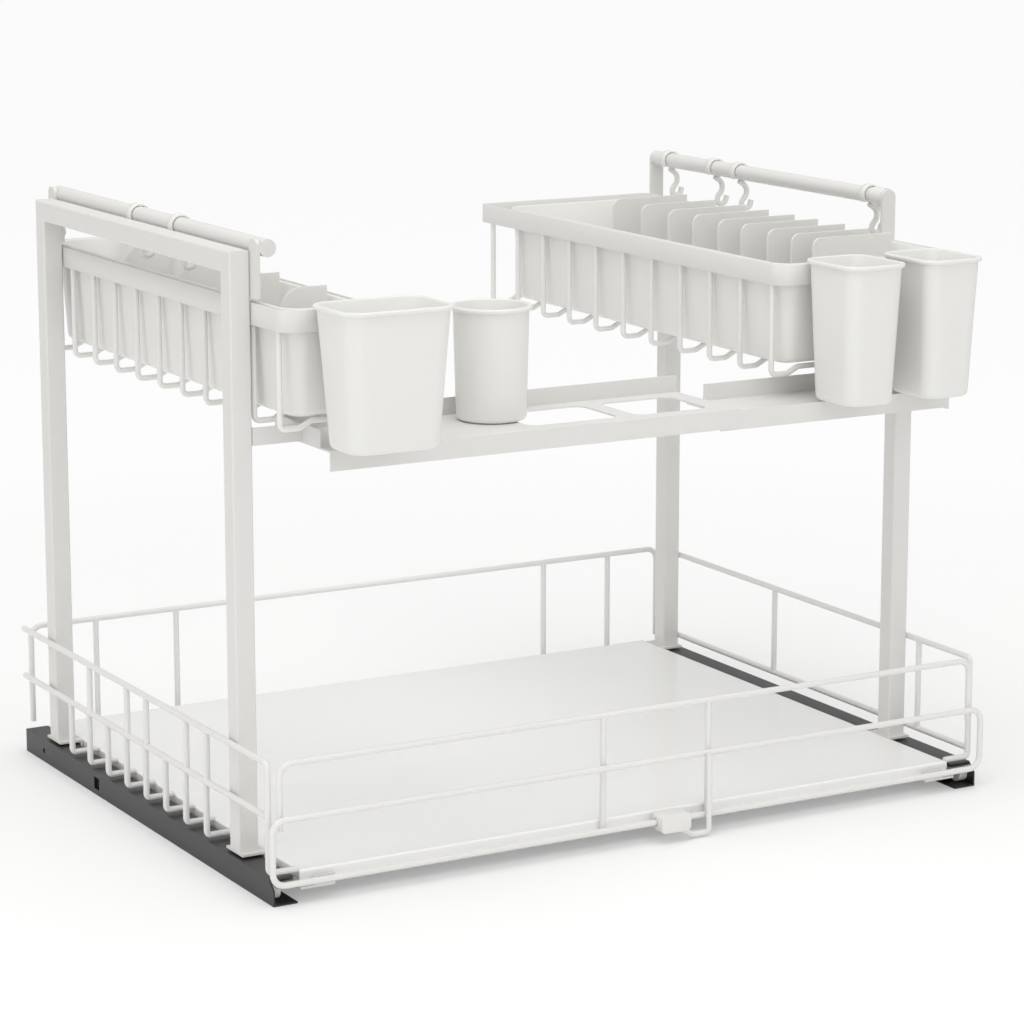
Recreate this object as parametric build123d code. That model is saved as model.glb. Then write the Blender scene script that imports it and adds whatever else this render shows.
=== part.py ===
from build123d import *
import math
import os

# Pull-out under sink organizer: a wire drawer on two roller slides, with a tube gate at each side
# that carries a wire basket, a bin, a hook bar and cups, and a two-part shelf between the baskets.
# Origin: on the cabinet floor, in the middle of the four floor screws of the rails.
# Axes: +X to the right, +Y to the back of the cabinet, +Z up. The drawer comes out along -Y.
# All lengths are in millimetres.

os.makedirs("parts", exist_ok=True)

# Drawer and gates
GATE_SPACING = 558.0  # between the centre lines of the left and right gates
POST_SPACING = 324.0  # between the centre lines of a gate's front and back posts
FRONT_SETBACK = 68.0  # from the rails' front end to the centre line of the left front post
RIGHT_SETBACK = 92.0  # and to that of the right front post
TUBE = 15.0
TUBE_WALL = 1.2
TUBE_CORNER = 1.6
FOOT_HEIGHT = 20.5  # of the posts' lower ends above the floor
LEFT_GATE_TOP = 432.0
WELD_SINK = 0.2  # how far a welded wire or flange sinks into what it is welded to
SEAT_GAP = 0.3  # between pieces that rest on each other or pass close by
CUT_OVERRUN = 2.0

# Slide rails on the cabinet floor
RAIL_LENGTH = 440.0
RAIL_HEIGHT = 17.5
RAIL_WALL = 1.2
RAIL_DEPTH = 18.0  # of the upper flange
RAIL_BASE = 18.0  # of the lower flange
RAIL_TAB = 34.0  # of the lower flange where a floor screw holds it
RAIL_TAB_LENGTH = 24.0
RAIL_OFFSET = 11.0  # from the gate's centre line out to the rail's outer face
RAIL_NOSE = 7.0  # corner radius of the rail's web at the front
FLOOR_HOLE_RADIUS = 2.2
FLOOR_HOLE_PITCH = 300.0  # between the front and back floor screws
FLOOR_HOLE_EDGE = 7.0  # from a tab's inner edge to its hole
SIDE_HOLE_RADIUS = 2.0
SIDE_HOLE_BACK = 36.0  # from the rail's back end
WINDOW_LENGTH = 9.0
WINDOW_HEIGHT = 9.0
WINDOW_BACK = 139.0  # from the rail's back end to the middle of the window
STOP_HEIGHT = 5.0
STOP_WIDTH = 7.0
BUMPER_HEIGHT = 12.0

# Runners under the drawer, and the rollers between rail and runner
DRAWER_TRAVEL = 300.0
RUNNER_LENGTH = 430.0
RUNNER_WALL = 1.5
RUNNER_SIDE_GAP = 0.5  # between the rail's upper flange and the runner's web
RUNNER_SHELF = 12.0  # inward flange that carries the floor panel
RACE_DEPTH = 16.5  # outward flange that rolls on the front roller
RACE_TOP_GAP = 0.5  # between that flange and the rail's upper flange
ROLLER_RADIUS = 6.1
ROLLER_WIDTH = 7.0
ROLLER_END = 13.0  # from a rail's or runner's end to its roller's axle
AXLE_RADIUS = 2.0
AXLE_CLEARANCE = 0.06
EAR_BELOW = 3.4  # of the runner's ear below its axle
ROLLER_SIDE_GAP = 0.5

# Floor panel
PANEL_SHEET = 1.2
PANEL_TOP = 20.8
PANEL_LIP = 8.6
PANEL_BEND = 1.6
PANEL_SIDE_GAP = 0.5  # to the legs of the foot plates
PANEL_END_GAP = 0.6  # to the uprights of the front and back fences

# Fences
FENCE_WIRE = 2.25  # wire radius
FENCE_TOP = 97.0
FENCE_MID = 60.0
FENCE_LOW = 14.8
FENCE_CORNER = 9.0
FRONT_SETOUT = 3.0  # from the rails' front end to the front fence's wire centre
LOOP_SIDE = 12.5  # lower front loop beyond each gate's centre line
UPPER_INSET = 8.0  # upper front loop inside the lower one, at each end
BACK_SETOUT = 3.4  # from the rails' back end to the back fence's wire centre
BACK_SIDE_INSET = 3.5  # back fence's left end, outside the left gate's centre line
BACK_RIGHT_INSET = 6.0  # back fence's right end, outside the right gate's centre line
BACK_LOW = 22.0  # lower ends of the back fence's sides
SIDE_HOOK_LOW = 21.0
SIDE_HOOK_BEND = 3.5
U_PITCH = 34.5
U_COUNT = 8
U_FIRST = 39.0  # behind the front posts' centre line
TALL_POSTS = (37.0, 71.2, 140.2, 174.7, 243.7)  # behind the front posts' centre line
CORNER_SETBACK = 11.5  # side fence's front upright, behind the front fence
RIGHT_UPRIGHTS = (176.0, -20.0)  # from the right front post's centre line
RIGHT_FENCE_RISE = 6.5  # right fence's lower wire above its turned-in end
BACK_UPRIGHTS_SHARES = (0.095, 0.215, 0.805, 0.915)  # of the back fence's width
FRONT_UPRIGHTS = (246.0, 333.0)  # from the left gate's centre line
PIN_RADIUS = 1.8
WIRE_SIDES = 6  # of every wire's section
BEND_STEPS = 3  # straight steps in a quarter bend

# Pull wire and pull tab
PULL_WIRE_OFFSET = 328.0  # from the left gate's centre line
PULL_WIRE_LOW = 3.2
PULL_WIRE_RUN = 14.0
PULL_WIRE_END = 29.0
PULL_WIRE_END_HEIGHT = 9.0
PULL_WIRE_OUT = 4.7  # in front of the lower loop
TAB_LENGTH = 24.0
TAB_HEIGHT = 13.0
TAB_DEPTH = 9.0
TAB_ROUND = 3.0
TAB_OFFSET = 298.5  # from the left gate's centre line
TAB_CLEARANCE = 0.15

# Front brackets at the rails
BRACKET_WIDTH = 26.0
BRACKET_HEIGHT = 8.0
BRACKET_SHEET = 1.5
BRACKET_FLANGE = 22.0

# Foot plates under the posts
PLATE_SHEET = 1.6
PLATE_LENGTH = 26.0

# Baskets
LEFT_BASKET_WIDTH = 68.0
LEFT_BASKET_LENGTH = 415.0
RIGHT_BASKET_WIDTH = 157.0
RIGHT_BASKET_LENGTH = 436.0
RIM_HEIGHT = 15.0
RIM_SHEET = 1.5
RIM_TOP = 397.5
RIM_FRONT_CORNER = 14.0
RIM_BACK_CORNER = 3.0
LEFT_BASKET_OVERHANG = 56.0  # in front of the front posts' centre line
RIGHT_BASKET_OVERHANG = 34.0
RIGHT_BASKET_OUT = 8.5  # right basket's outer face beyond the right gate's centre line
BASKET_WIRE = 2.0  # wire radius
BASKET_WIRE_COUNT = 11
BASKET_WIRE_LOW = 317.0
BASKET_WIRE_RISE = 4.5  # middle of each wire above its low runs
BASKET_LOW_RUN = 14.0
BASKET_SLOPE_RUN = 9.0  # of the step from the low run up to the middle
BASKET_WIRE_TOP_GAP = 2.0  # wire ends below the rim's top edge
BASKET_END_MARGIN = 14.0  # first and last wire from the rim's ends

# Bins
BIN_WALL = 1.8
BIN_CLEARANCE = 0.6
RIGHT_BIN_BACK_GAP = 24.0  # free length of the basket behind the bin
BIN_LIP = 2.0
BIN_LIP_SHEET = 1.8
BIN_TAPER = 5.0  # each side, from the lip to the floor
BIN_TOP_CORNER = 16.0
BIN_FLOOR_CORNER = 12.0

# Dividers
DIVIDER_SHEET = 2.0
RIGHT_DIVIDER_WIDTH = 70.0
LEFT_DIVIDER_WIDTH = 36.0
DIVIDER_RISE = 8.0  # above the rim's top edge
RIGHT_DIVIDER_CORNER = 7.0
LEFT_DIVIDER_CORNER = 18.0
DIVIDER_FOOT_GAP = 0.4
RIGHT_DIVIDER_SHARES = (0.15, 0.22, 0.30, 0.39, 0.47, 0.56, 0.65, 0.75, 0.86)  # of the bin's length
LEFT_DIVIDER_SHARES = (0.10, 0.28, 0.50, 0.74)

# Hook bars
ROD_RADIUS = 6.0
LEFT_ROD_HEIGHT = 434.0
RIGHT_ROD_HEIGHT = 427.0
ROD_RIM_GAP = 1.2  # right rod's side from the right basket's outer face
ARM_WIDTH = 12.0
ARM_SHEET = 2.5
ARM_FOOT = 12.0
ARM_ROUND = 4.5
LEFT_ARM_BOTTOM = 400.5
LEFT_ARM_FOOT = 24.0
LEFT_ARM_FOOT_HEIGHT = 15.0
LEFT_ARM_OVERLAP = 1.5  # of the upright strip over the post's inner face
RIGHT_ARM_FRONT_INSET = 100.0  # right bar's front arm, behind the basket's front
RIGHT_ROD_LENGTH = 328.0
COLLAR_RADIUS = 6.9
COLLAR_LENGTH = 14.0
COLLAR_NUB_WIDTH = 5.5
COLLAR_NUB = 4.0

# Hooks
HOOK_WIRE = 2.2
HOOK_RING_GAP = 0.45
HOOK_RING_SHEET = 1.6
HOOK_RING_WIDTH = 6.5
HOOK_STEM = 22.0
HOOK_BOW = 7.0
HOOK_MOUTH = 7.0  # opening of the ring's band
HOOK_RING_SIDES = 12
# Bends of a hook's stem: shares of its bow outward and of its length downward
BOW_SHARES = ((0, 0), (0.9, 0.22), (1, 0.5), (0.4, 0.78), (0.6, 1), (1.4, 0.97), (1.7, 0.72))
RIGHT_HOOK_SHARES = (0.06, 0.27, 0.38, 0.93)  # of the rod, from its back end
LEFT_HOOK_SHARES = (0.40, 0.62)

# Cups
CUP_WALL = 1.8
CUP_RIM = 2.4
CUP_RIM_HEIGHT = 3.2
CUP_RIM_TOP = 402.5
CUP_HANG_GAP = 0.4
BIG_CUP_WIDTH = 84.0
BIG_CUP_DEPTH = 62.0
BIG_CUP_HEIGHT = 95.0
BIG_CUP_CORNER = 13.0
BIG_CUP_TAPER = 6.0
BIG_CUP_OFFSET = 65.0  # from the left gate's centre line to its middle
CUP_WIDTH = 53.0
CUP_DEPTH = 64.0
CUP_HEIGHT = 101.0
CUP_CORNER = 11.0
CUP_TAPER = 4.0
CUP_INNER_OFFSET = 43.0  # middle of the inner cup from the right basket's inner face
CUP_OUTER_OFFSET = 110.0
CUP_TAB_WIDTH = 26.0
BIG_CUP_TAB_SHIFT = -18.0  # from the big cup's middle to its tab
CUP_TAB_DROP = 12.0
CUP_TAB_SHEET = 1.6
ROUND_CUP_RADIUS = 29.0
ROUND_CUP_HEIGHT = 80.0
ROUND_CUP_TAPER = 2.0
ROUND_CUP_OFFSET = 195.0  # from the left gate's centre line
ROUND_CUP_BACK = 2.5  # behind the front posts' centre line

# Bridge shelf
SHELF_SHEET = 1.2
SHELF_TOP = 301.0
SHELF_APRON = 13.8
SHELF_FRONT = 50.0  # apron's face in front of the front posts' centre line
SHELF_LEFT_START = 44.0  # from the left gate's centre line
SHELF_LEFT_LENGTH = 322.0
SHELF_LEFT_DEPTH = 84.0
SHELF_RIGHT_DEPTH = 46.0
SHELF_OVERLAP = 14.0
SHELF_WALL = 12.0
SHELF_FRAME = 15.0  # metal left around the cut-outs
SHELF_BAR = 14.0
SHELF_CUT_ROUND = 8.0
SHELF_CUT_START_SHARE = 0.50
SHELF_CUT_BAR_SHARE = 0.745
SHELF_BRACKET_WIDTH = 15.0
SHELF_BRACKET_SHEET = 1.5

# Right gate, which carries its basket from below
RIGHT_GATE_GAP = 0.2  # between its beam and the basket's wires

# Screws
SCREW_HEAD_RADIUS = 3.4
SCREW_HEAD = 2.0
SCREW_SIDES = 8

# Derived places
LEFT_X = -GATE_SPACING / 2
RIGHT_X = GATE_SPACING / 2
RAIL_FRONT = -RAIL_LENGTH / 2
RAIL_BACK = RAIL_LENGTH / 2
POST_FRONT = RAIL_FRONT + FRONT_SETBACK
POST_BACK = POST_FRONT + POST_SPACING
RIGHT_POST_FRONT = RAIL_FRONT + RIGHT_SETBACK
RIGHT_POST_BACK = RIGHT_POST_FRONT + POST_SPACING
HALF_TUBE = TUBE / 2
FENCE_FRONT = RAIL_FRONT - FRONT_SETOUT
FENCE_BACK = RAIL_BACK + BACK_SETOUT
PANEL_UNDER = PANEL_TOP - PANEL_SHEET
PANEL_FOOT = PANEL_TOP - PANEL_LIP
WIRE_REACH_SHARE = 1 / math.cos(math.pi / WIRE_SIDES)
FENCE_REACH = FENCE_WIRE * WIRE_REACH_SHARE  # across a wire's corners
RUNNER_FACE = RAIL_DEPTH - RAIL_OFFSET + RUNNER_SIDE_GAP  # inward from the gate's centre line
BASKET_REACH = BASKET_WIRE * WIRE_REACH_SHARE
BASKET_WIRE_UNDER = BASKET_WIRE_LOW - BASKET_REACH
RIGHT_GATE_TOP = BASKET_WIRE_UNDER - RIGHT_GATE_GAP
LEFT_BASKET_LOW_X = LEFT_X + HALF_TUBE + SEAT_GAP
RIGHT_BASKET_HIGH_X = RIGHT_X + RIGHT_BASKET_OUT
RIGHT_BASKET_LOW_X = RIGHT_BASKET_HIGH_X - RIGHT_BASKET_WIDTH
LEFT_BASKET_FRONT = POST_FRONT - LEFT_BASKET_OVERHANG
RIGHT_BASKET_FRONT = POST_FRONT - RIGHT_BASKET_OVERHANG
BIN_INSET = RIM_SHEET + BASKET_WIRE + BASKET_REACH - WELD_SINK + BIN_CLEARANCE
BIN_FLOOR = BASKET_WIRE_LOW + BASKET_WIRE_RISE + BASKET_REACH + SEAT_GAP
RACE_TOP = RAIL_HEIGHT - RAIL_WALL - RACE_TOP_GAP
SIDES = {"left": (LEFT_X, 1.0), "right": (RIGHT_X, -1.0)}
POSTS = {"left": (POST_FRONT, POST_BACK), "right": (RIGHT_POST_FRONT, RIGHT_POST_BACK)}


def box(low, high):
    size = [b - a for a, b in zip(low, high)]
    return Pos(*low) * Box(*size, align=(Align.MIN, Align.MIN, Align.MIN))


def block(x_range, y_range, z_range):
    xs, ys, zs = sorted(x_range), sorted(y_range), sorted(z_range)
    return box((xs[0], ys[0], zs[0]), (xs[1], ys[1], zs[1]))


def cylinder(centre, axis, radius, length):
    """Closed cylinder whose middle is at centre, along axis."""
    plane = Plane(origin=centre, z_dir=axis)
    return extrude(plane * Circle(radius), amount=length / 2, both=True)


def wire(points, radius):
    """Welding wire with a flat-sided section, mitred at the points of its path."""
    path = Polyline(*points)
    start = Plane(origin=path @ 0, z_dir=path % 0)
    section = start * RegularPolygon(radius, WIRE_SIDES, major_radius=False)
    return sweep(section, path=path, transition=Transition.RIGHT)


def bent_wire(points, radius, bend):
    """Wire whose corners are quarter bends in straight steps."""
    route = [Vector(*points[0])]
    for before, corner, after in zip(points, points[1:], points[2:]):
        corner = Vector(*corner)
        back = (Vector(*before) - corner).normalized()
        ahead = (Vector(*after) - corner).normalized()
        centre = corner + (back + ahead) * bend
        for i in range(BEND_STEPS + 1):
            angle = math.pi / 2 * i / BEND_STEPS
            route.append(centre - ahead * (bend * math.cos(angle)) - back * (bend * math.sin(angle)))
    route.append(Vector(*points[-1]))
    return wire(route, radius)


def fused(shapes):
    first, *rest = shapes
    return first.fuse(*rest) if rest else first


def save(shape, name):
    shape.label = name
    export_step(shape, "parts/" + name + ".step")


def rounded_profile(width, length, corner):
    return RectangleRounded(width, length, corner)


def tapered_tub(width, length, corner, floor_corner, taper, height, wall):
    """Open tub with drawn-in floor; its floor's underside is at zero."""
    def body(inset, low, high):
        t_low = taper * (1 - low / height)
        t_high = taper * (1 - high / height)
        lower = Pos(0, 0, low) * rounded_profile(
            width - (inset + t_low) * 2, length - (inset + t_low) * 2, max(floor_corner - inset, wall)
        )
        upper = Pos(0, 0, high) * rounded_profile(
            width - (inset + t_high) * 2, length - (inset + t_high) * 2, max(corner - inset, wall)
        )
        return loft([lower, upper])
    outer = body(0, 0, height)
    inner = body(wall, wall, height)
    return outer - inner


# Slide rails


def rail_profile(side_x, inward):
    """Bent sheet section of a rail, in the XZ plane: upper flange, web and base flange."""
    outer = side_x - inward * RAIL_OFFSET
    def pt(u, w):
        return (outer + inward * u, w)
    corners = [
        pt(RAIL_DEPTH, RAIL_HEIGHT), pt(0, RAIL_HEIGHT), pt(0, 0), pt(RAIL_BASE, 0),
        pt(RAIL_BASE, RAIL_WALL), pt(RAIL_WALL, RAIL_WALL),
        pt(RAIL_WALL, RAIL_HEIGHT - RAIL_WALL), pt(RAIL_DEPTH, RAIL_HEIGHT - RAIL_WALL),
    ]
    return corners


def extruded_section(corners, y_low, y_high):
    """Solid with the given XZ corners between two Y positions."""
    plane = Plane(origin=(0, y_low, 0), x_dir=(1, 0, 0), z_dir=(0, -1, 0))
    face = plane * make_face(Polyline(*[(x, z) for x, z in corners], close=True))
    return extrude(face, amount=y_low - y_high)


def slide_rail(side_x, inward):
    rail = extruded_section(rail_profile(side_x, inward), RAIL_FRONT, RAIL_BACK)
    outer = side_x - inward * RAIL_OFFSET
    web_inside = outer + inward * RAIL_WALL
    cut_x = (outer - inward * CUT_OVERRUN, web_inside + inward * CUT_OVERRUN)
    # Upper front corner of the web and flange, cut off at a slant
    slant = Plane.YZ * make_face(Polyline(
        (RAIL_FRONT - CUT_OVERRUN, RAIL_HEIGHT - RAIL_NOSE - CUT_OVERRUN),
        (RAIL_FRONT + RAIL_NOSE + CUT_OVERRUN, RAIL_HEIGHT + CUT_OVERRUN),
        (RAIL_FRONT - CUT_OVERRUN, RAIL_HEIGHT + CUT_OVERRUN), close=True))
    rail -= Pos(outer, 0, 0) * extrude(slant, amount=RAIL_DEPTH + CUT_OVERRUN, both=True)
    # Tabs with the floor screws' holes, side hole and window
    hole_x = outer + inward * (RAIL_TAB - FLOOR_HOLE_EDGE)
    for y in (-FLOOR_HOLE_PITCH / 2, FLOOR_HOLE_PITCH / 2):
        rail += block((outer + inward * RAIL_WALL, outer + inward * RAIL_TAB),
                      (y - RAIL_TAB_LENGTH / 2, y + RAIL_TAB_LENGTH / 2), (0, RAIL_WALL))
        rail -= cylinder((hole_x, y, RAIL_WALL / 2), (0, 0, 1), FLOOR_HOLE_RADIUS,
                         RAIL_WALL + CUT_OVERRUN)
    rail -= cylinder((outer, RAIL_BACK - SIDE_HOLE_BACK, RAIL_HEIGHT / 2), (1, 0, 0),
                     SIDE_HOLE_RADIUS, RAIL_WALL * 2 + CUT_OVERRUN)
    window_y = RAIL_BACK - WINDOW_BACK
    rail -= block(cut_x, (window_y - WINDOW_LENGTH / 2, window_y + WINDOW_LENGTH / 2),
                  ((RAIL_HEIGHT - WINDOW_HEIGHT) / 2, (RAIL_HEIGHT + WINDOW_HEIGHT) / 2))
    # Pressed-up stop that the runner's back roller meets at full travel
    stop_y = RUNNER_BACK - ROLLER_END - DRAWER_TRAVEL - ROLLER_RADIUS - SEAT_GAP
    middle = outer + inward * (RAIL_WALL + ROLLER_SIDE_GAP + ROLLER_WIDTH / 2)
    rail += block((middle - STOP_WIDTH / 2, middle + STOP_WIDTH / 2), (stop_y - RAIL_WALL, stop_y),
                  (RAIL_WALL - WELD_SINK, RAIL_WALL + STOP_HEIGHT))
    return rail


RUNNER_FRONT = RAIL_FRONT + SEAT_GAP
RUNNER_BACK = RUNNER_FRONT + RUNNER_LENGTH


def rail_bumper(side_x, inward):
    """Moulded pad at the rail's back end that the runner meets when the drawer is shut."""
    outer = side_x - inward * RAIL_OFFSET
    xs = (outer + inward * (RAIL_WALL + SEAT_GAP), outer + inward * (RAIL_DEPTH + RUNNER_SIDE_GAP
                                                                      + RUNNER_WALL))
    ys = (RUNNER_BACK + SEAT_GAP, RAIL_BACK - SEAT_GAP)
    return block(xs, ys, (RAIL_WALL, RAIL_WALL + BUMPER_HEIGHT))


def runner(side_x, inward):
    """Bent inner member: race flange, web down from it and shelf flange under the floor panel."""
    face = side_x + inward * RUNNER_FACE
    back = face + inward * RUNNER_WALL
    shelf = face + inward * RUNNER_SHELF
    race = face - inward * RACE_DEPTH
    low = PANEL_FOOT - RUNNER_WALL
    corners = [
        (race, RACE_TOP), (back, RACE_TOP), (back, PANEL_FOOT), (shelf, PANEL_FOOT),
        (shelf, low), (face, low), (face, RACE_TOP - RUNNER_WALL), (race, RACE_TOP - RUNNER_WALL),
    ]
    member = extruded_section(corners, RUNNER_FRONT, RUNNER_BACK)
    # Ear that carries the back roller's axle
    ear_y = RUNNER_BACK - ROLLER_END
    ear_low = roller_back_z() - EAR_BELOW
    member += block((face, back), (ear_y - ROLLER_RADIUS, RUNNER_BACK), (ear_low, RACE_TOP))
    member -= cylinder((face, ear_y, roller_back_z()), (1, 0, 0), AXLE_RADIUS + AXLE_CLEARANCE,
                       RUNNER_WALL * 2 + CUT_OVERRUN)
    return member


def roller_front_z():
    """Front roller carries the race flange from below."""
    return RACE_TOP - RUNNER_WALL - SEAT_GAP - ROLLER_RADIUS


def roller_back_z():
    """Back roller runs on the rail's base flange."""
    return RAIL_WALL + SEAT_GAP + ROLLER_RADIUS


def roller(x_middle, y, z):
    wheel = cylinder((x_middle, y, z), (1, 0, 0), ROLLER_RADIUS, ROLLER_WIDTH)
    return wheel - cylinder((x_middle, y, z), (1, 0, 0), AXLE_RADIUS + AXLE_CLEARANCE,
                            ROLLER_WIDTH + CUT_OVERRUN)


def roller_middle(side_x, inward):
    return side_x - inward * (RAIL_OFFSET - RAIL_WALL - ROLLER_SIDE_GAP - ROLLER_WIDTH / 2)


def front_axle(side_x, inward):
    """Stub on the rail's web that carries the front roller."""
    outer = side_x - inward * RAIL_OFFSET
    start = outer + inward * RAIL_WALL
    head = roller_middle(side_x, inward) + inward * (ROLLER_WIDTH / 2 + ROLLER_SIDE_GAP)
    y = RAIL_FRONT + ROLLER_END
    z = roller_front_z()
    return cylinder(((start + head) / 2, y, z), (1, 0, 0), AXLE_RADIUS, abs(head - start))


def back_axle(side_x, inward):
    """Stub through the runner's ear that carries the back roller."""
    face = side_x + inward * (RUNNER_FACE + RUNNER_WALL)
    head = roller_middle(side_x, inward) - inward * (ROLLER_WIDTH / 2 + AXLE_CLEARANCE)
    y = RUNNER_BACK - ROLLER_END
    z = roller_back_z()
    return cylinder(((face + head) / 2, y, z), (1, 0, 0), AXLE_RADIUS, abs(head - face))


# Drawer floor and gates


def panel_side(gate_x, inward):
    return gate_x + inward * (RUNNER_FACE + RUNNER_WALL + PLATE_SHEET + PANEL_SIDE_GAP)


def floor_panel():
    low_x, high_x = [panel_side(*side) for side in SIDES.values()]
    low_y = FENCE_FRONT + FENCE_REACH * 3 + PANEL_END_GAP
    high_y = FENCE_BACK - FENCE_REACH * 3 - PANEL_END_GAP
    sheet = box((low_x, low_y, PANEL_FOOT), (high_x, high_y, PANEL_TOP))
    top_edges = sheet.faces().sort_by(Axis.Z)[-1].edges()
    sheet = fillet(top_edges, PANEL_BEND)
    hollow = box((low_x + PANEL_SHEET, low_y + PANEL_SHEET, PANEL_FOOT - CUT_OVERRUN),
                 (high_x - PANEL_SHEET, high_y - PANEL_SHEET, PANEL_UNDER))
    return sheet - hollow


def gate(x, front, back, top):
    """Inverted U of square tube, mitred at its upper corners."""
    middle = top - HALF_TUBE
    path = Polyline((x, front, FOOT_HEIGHT), (x, front, middle), (x, back, middle),
                    (x, back, FOOT_HEIGHT))
    start = Plane(origin=(x, front, FOOT_HEIGHT), x_dir=(1, 0, 0), z_dir=(0, 0, 1))
    bore = TUBE - TUBE_WALL * 2
    outer = sweep(start * RectangleRounded(TUBE, TUBE, TUBE_CORNER), path=path,
                  transition=Transition.RIGHT)
    inner = sweep(start * Rectangle(bore, bore), path=path, transition=Transition.RIGHT)
    return outer - inner


def gate_foot(x, inward, y):
    """Angle under the post: a plate, and a leg down the inner side of the runner's web."""
    outer = x - inward * HALF_TUBE
    web = x + inward * (RUNNER_FACE + RUNNER_WALL)
    leg = web + inward * PLATE_SHEET
    half = PLATE_LENGTH / 2
    ys = (y - half, y + half)
    plate = block((outer, leg), ys, (FOOT_HEIGHT - PLATE_SHEET, FOOT_HEIGHT))
    return plate + block((web, leg), ys, (PANEL_FOOT, FOOT_HEIGHT))


def front_bracket(x, inward):
    """Small angle at the drawer's front corner, between runner and front fence."""
    low = x + inward * (RUNNER_FACE + RUNNER_WALL)
    high = low + inward * BRACKET_WIDTH
    front = FENCE_FRONT + FENCE_REACH
    top = PANEL_FOOT - RUNNER_WALL
    under = top - BRACKET_SHEET
    clear = x + inward * (RUNNER_FACE + RUNNER_SHELF)
    upright = block((clear, high), (front, front + BRACKET_SHEET), (under, under + BRACKET_HEIGHT))
    flange = block((low, high), (front, front + BRACKET_FLANGE), (top - BRACKET_SHEET, top))
    return upright + flange


# Fences


def front_fence_lower():
    """Closed rounded loop, made of two halves that meet on the middle line."""
    low = LEFT_X - LOOP_SIDE
    high = RIGHT_X + LOOP_SIDE
    y = FENCE_FRONT
    middle = (low + high) / 2
    halves = [bent_wire([(middle, y, FENCE_LOW), (end, y, FENCE_LOW), (end, y, FENCE_MID),
                         (middle, y, FENCE_MID)], FENCE_WIRE, FENCE_CORNER) for end in (low, high)]
    return fused(halves)


def front_fence_upper():
    low = LEFT_X - LOOP_SIDE + UPPER_INSET
    high = RIGHT_X + LOOP_SIDE - UPPER_INSET
    y = FENCE_FRONT + FENCE_REACH * 2
    end = FENCE_MID - FENCE_CORNER
    points = [(low, y, end), (low, y, FENCE_TOP), (high, y, FENCE_TOP), (high, y, end)]
    loop = bent_wire(points, FENCE_WIRE, FENCE_CORNER)
    uprights = [wire([(LEFT_X + d, y, FENCE_LOW - FENCE_WIRE), (LEFT_X + d, y, FENCE_TOP)], FENCE_WIRE)
                for d in FRONT_UPRIGHTS]
    return fused([loop] + uprights)


def side_x_of_fence(gate_x, inward):
    return gate_x - inward * (HALF_TUBE + FENCE_REACH)


def side_fence_ends():
    return FENCE_FRONT + CORNER_SETBACK, FENCE_BACK - FENCE_REACH - SEAT_GAP


def side_top_wire(gate_x, inward):
    """Top wire of a side, down at the front corner and in to the panel's lip."""
    x = side_x_of_fence(gate_x, inward)
    front, back = side_fence_ends()
    points = [(x, back, FENCE_TOP), (x, front, FENCE_TOP), (x, front, SIDE_HOOK_LOW),
              (panel_side(gate_x, inward), front, SIDE_HOOK_LOW)]
    return bent_wire(points, FENCE_WIRE, SIDE_HOOK_BEND)


def left_fence_lower():
    """Middle wire and the wires that drop from it and turn in to the panel's lip."""
    x = side_x_of_fence(LEFT_X, 1.0)
    front, back = side_fence_ends()
    pieces = [wire([(x, front + FENCE_REACH, FENCE_MID), (x, back, FENCE_MID)], FENCE_WIRE)]
    low = SIDE_HOOK_LOW
    for i in range(U_COUNT):
        y = POST_FRONT + U_FIRST + i * U_PITCH
        pieces.append(wire([(x, y, FENCE_MID), (x, y, low + SIDE_HOOK_BEND),
                            (x + SIDE_HOOK_BEND, y, low), (panel_side(LEFT_X, 1.0), y, low)],
                           FENCE_WIRE))
    return fused(pieces)


def left_fence_upper():
    x = side_x_of_fence(LEFT_X, 1.0)
    posts = [wire([(x, POST_FRONT + d, FENCE_MID + FENCE_REACH), (x, POST_FRONT + d, FENCE_TOP)],
                  FENCE_WIRE) for d in TALL_POSTS]
    return fused([side_top_wire(LEFT_X, 1.0)] + posts)


def right_fence():
    x = side_x_of_fence(RIGHT_X, -1.0)
    front, back = side_fence_ends()
    level = SIDE_HOOK_LOW + RIGHT_FENCE_RISE
    pieces = [side_top_wire(RIGHT_X, -1.0), wire([(x, front, level), (x, back, level)], FENCE_WIRE)]
    for d in RIGHT_UPRIGHTS:
        y = RIGHT_POST_FRONT + d
        pieces.append(wire([(x, y, level), (x, y, FENCE_TOP)], FENCE_WIRE))
    return fused(pieces)


def back_fence():
    low = LEFT_X - BACK_SIDE_INSET
    high = RIGHT_X + BACK_RIGHT_INSET
    y = FENCE_BACK
    inner = y - FENCE_REACH * 3 - PANEL_END_GAP - PANEL_SHEET * 2
    points = [(low, y, BACK_LOW), (low, y, FENCE_TOP), (high, y, FENCE_TOP), (high, y, BACK_LOW)]
    pieces = [bent_wire(points, FENCE_WIRE, FENCE_CORNER)]
    width = high - low
    under = PANEL_FOOT - SEAT_GAP - FENCE_REACH
    for share in BACK_UPRIGHTS_SHARES:
        x = low + width * share
        pieces.append(wire([(x, y, FENCE_TOP), (x, y, under + SIDE_HOOK_BEND),
                            (x, y - SIDE_HOOK_BEND, under), (x, inner, under)], FENCE_WIRE))
    pieces.append(wire([(low, y, under + SIDE_HOOK_BEND), (high, y, under + SIDE_HOOK_BEND)],
                       FENCE_WIRE))
    return fused(pieces)


# Baskets, bins and dividers


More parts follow.
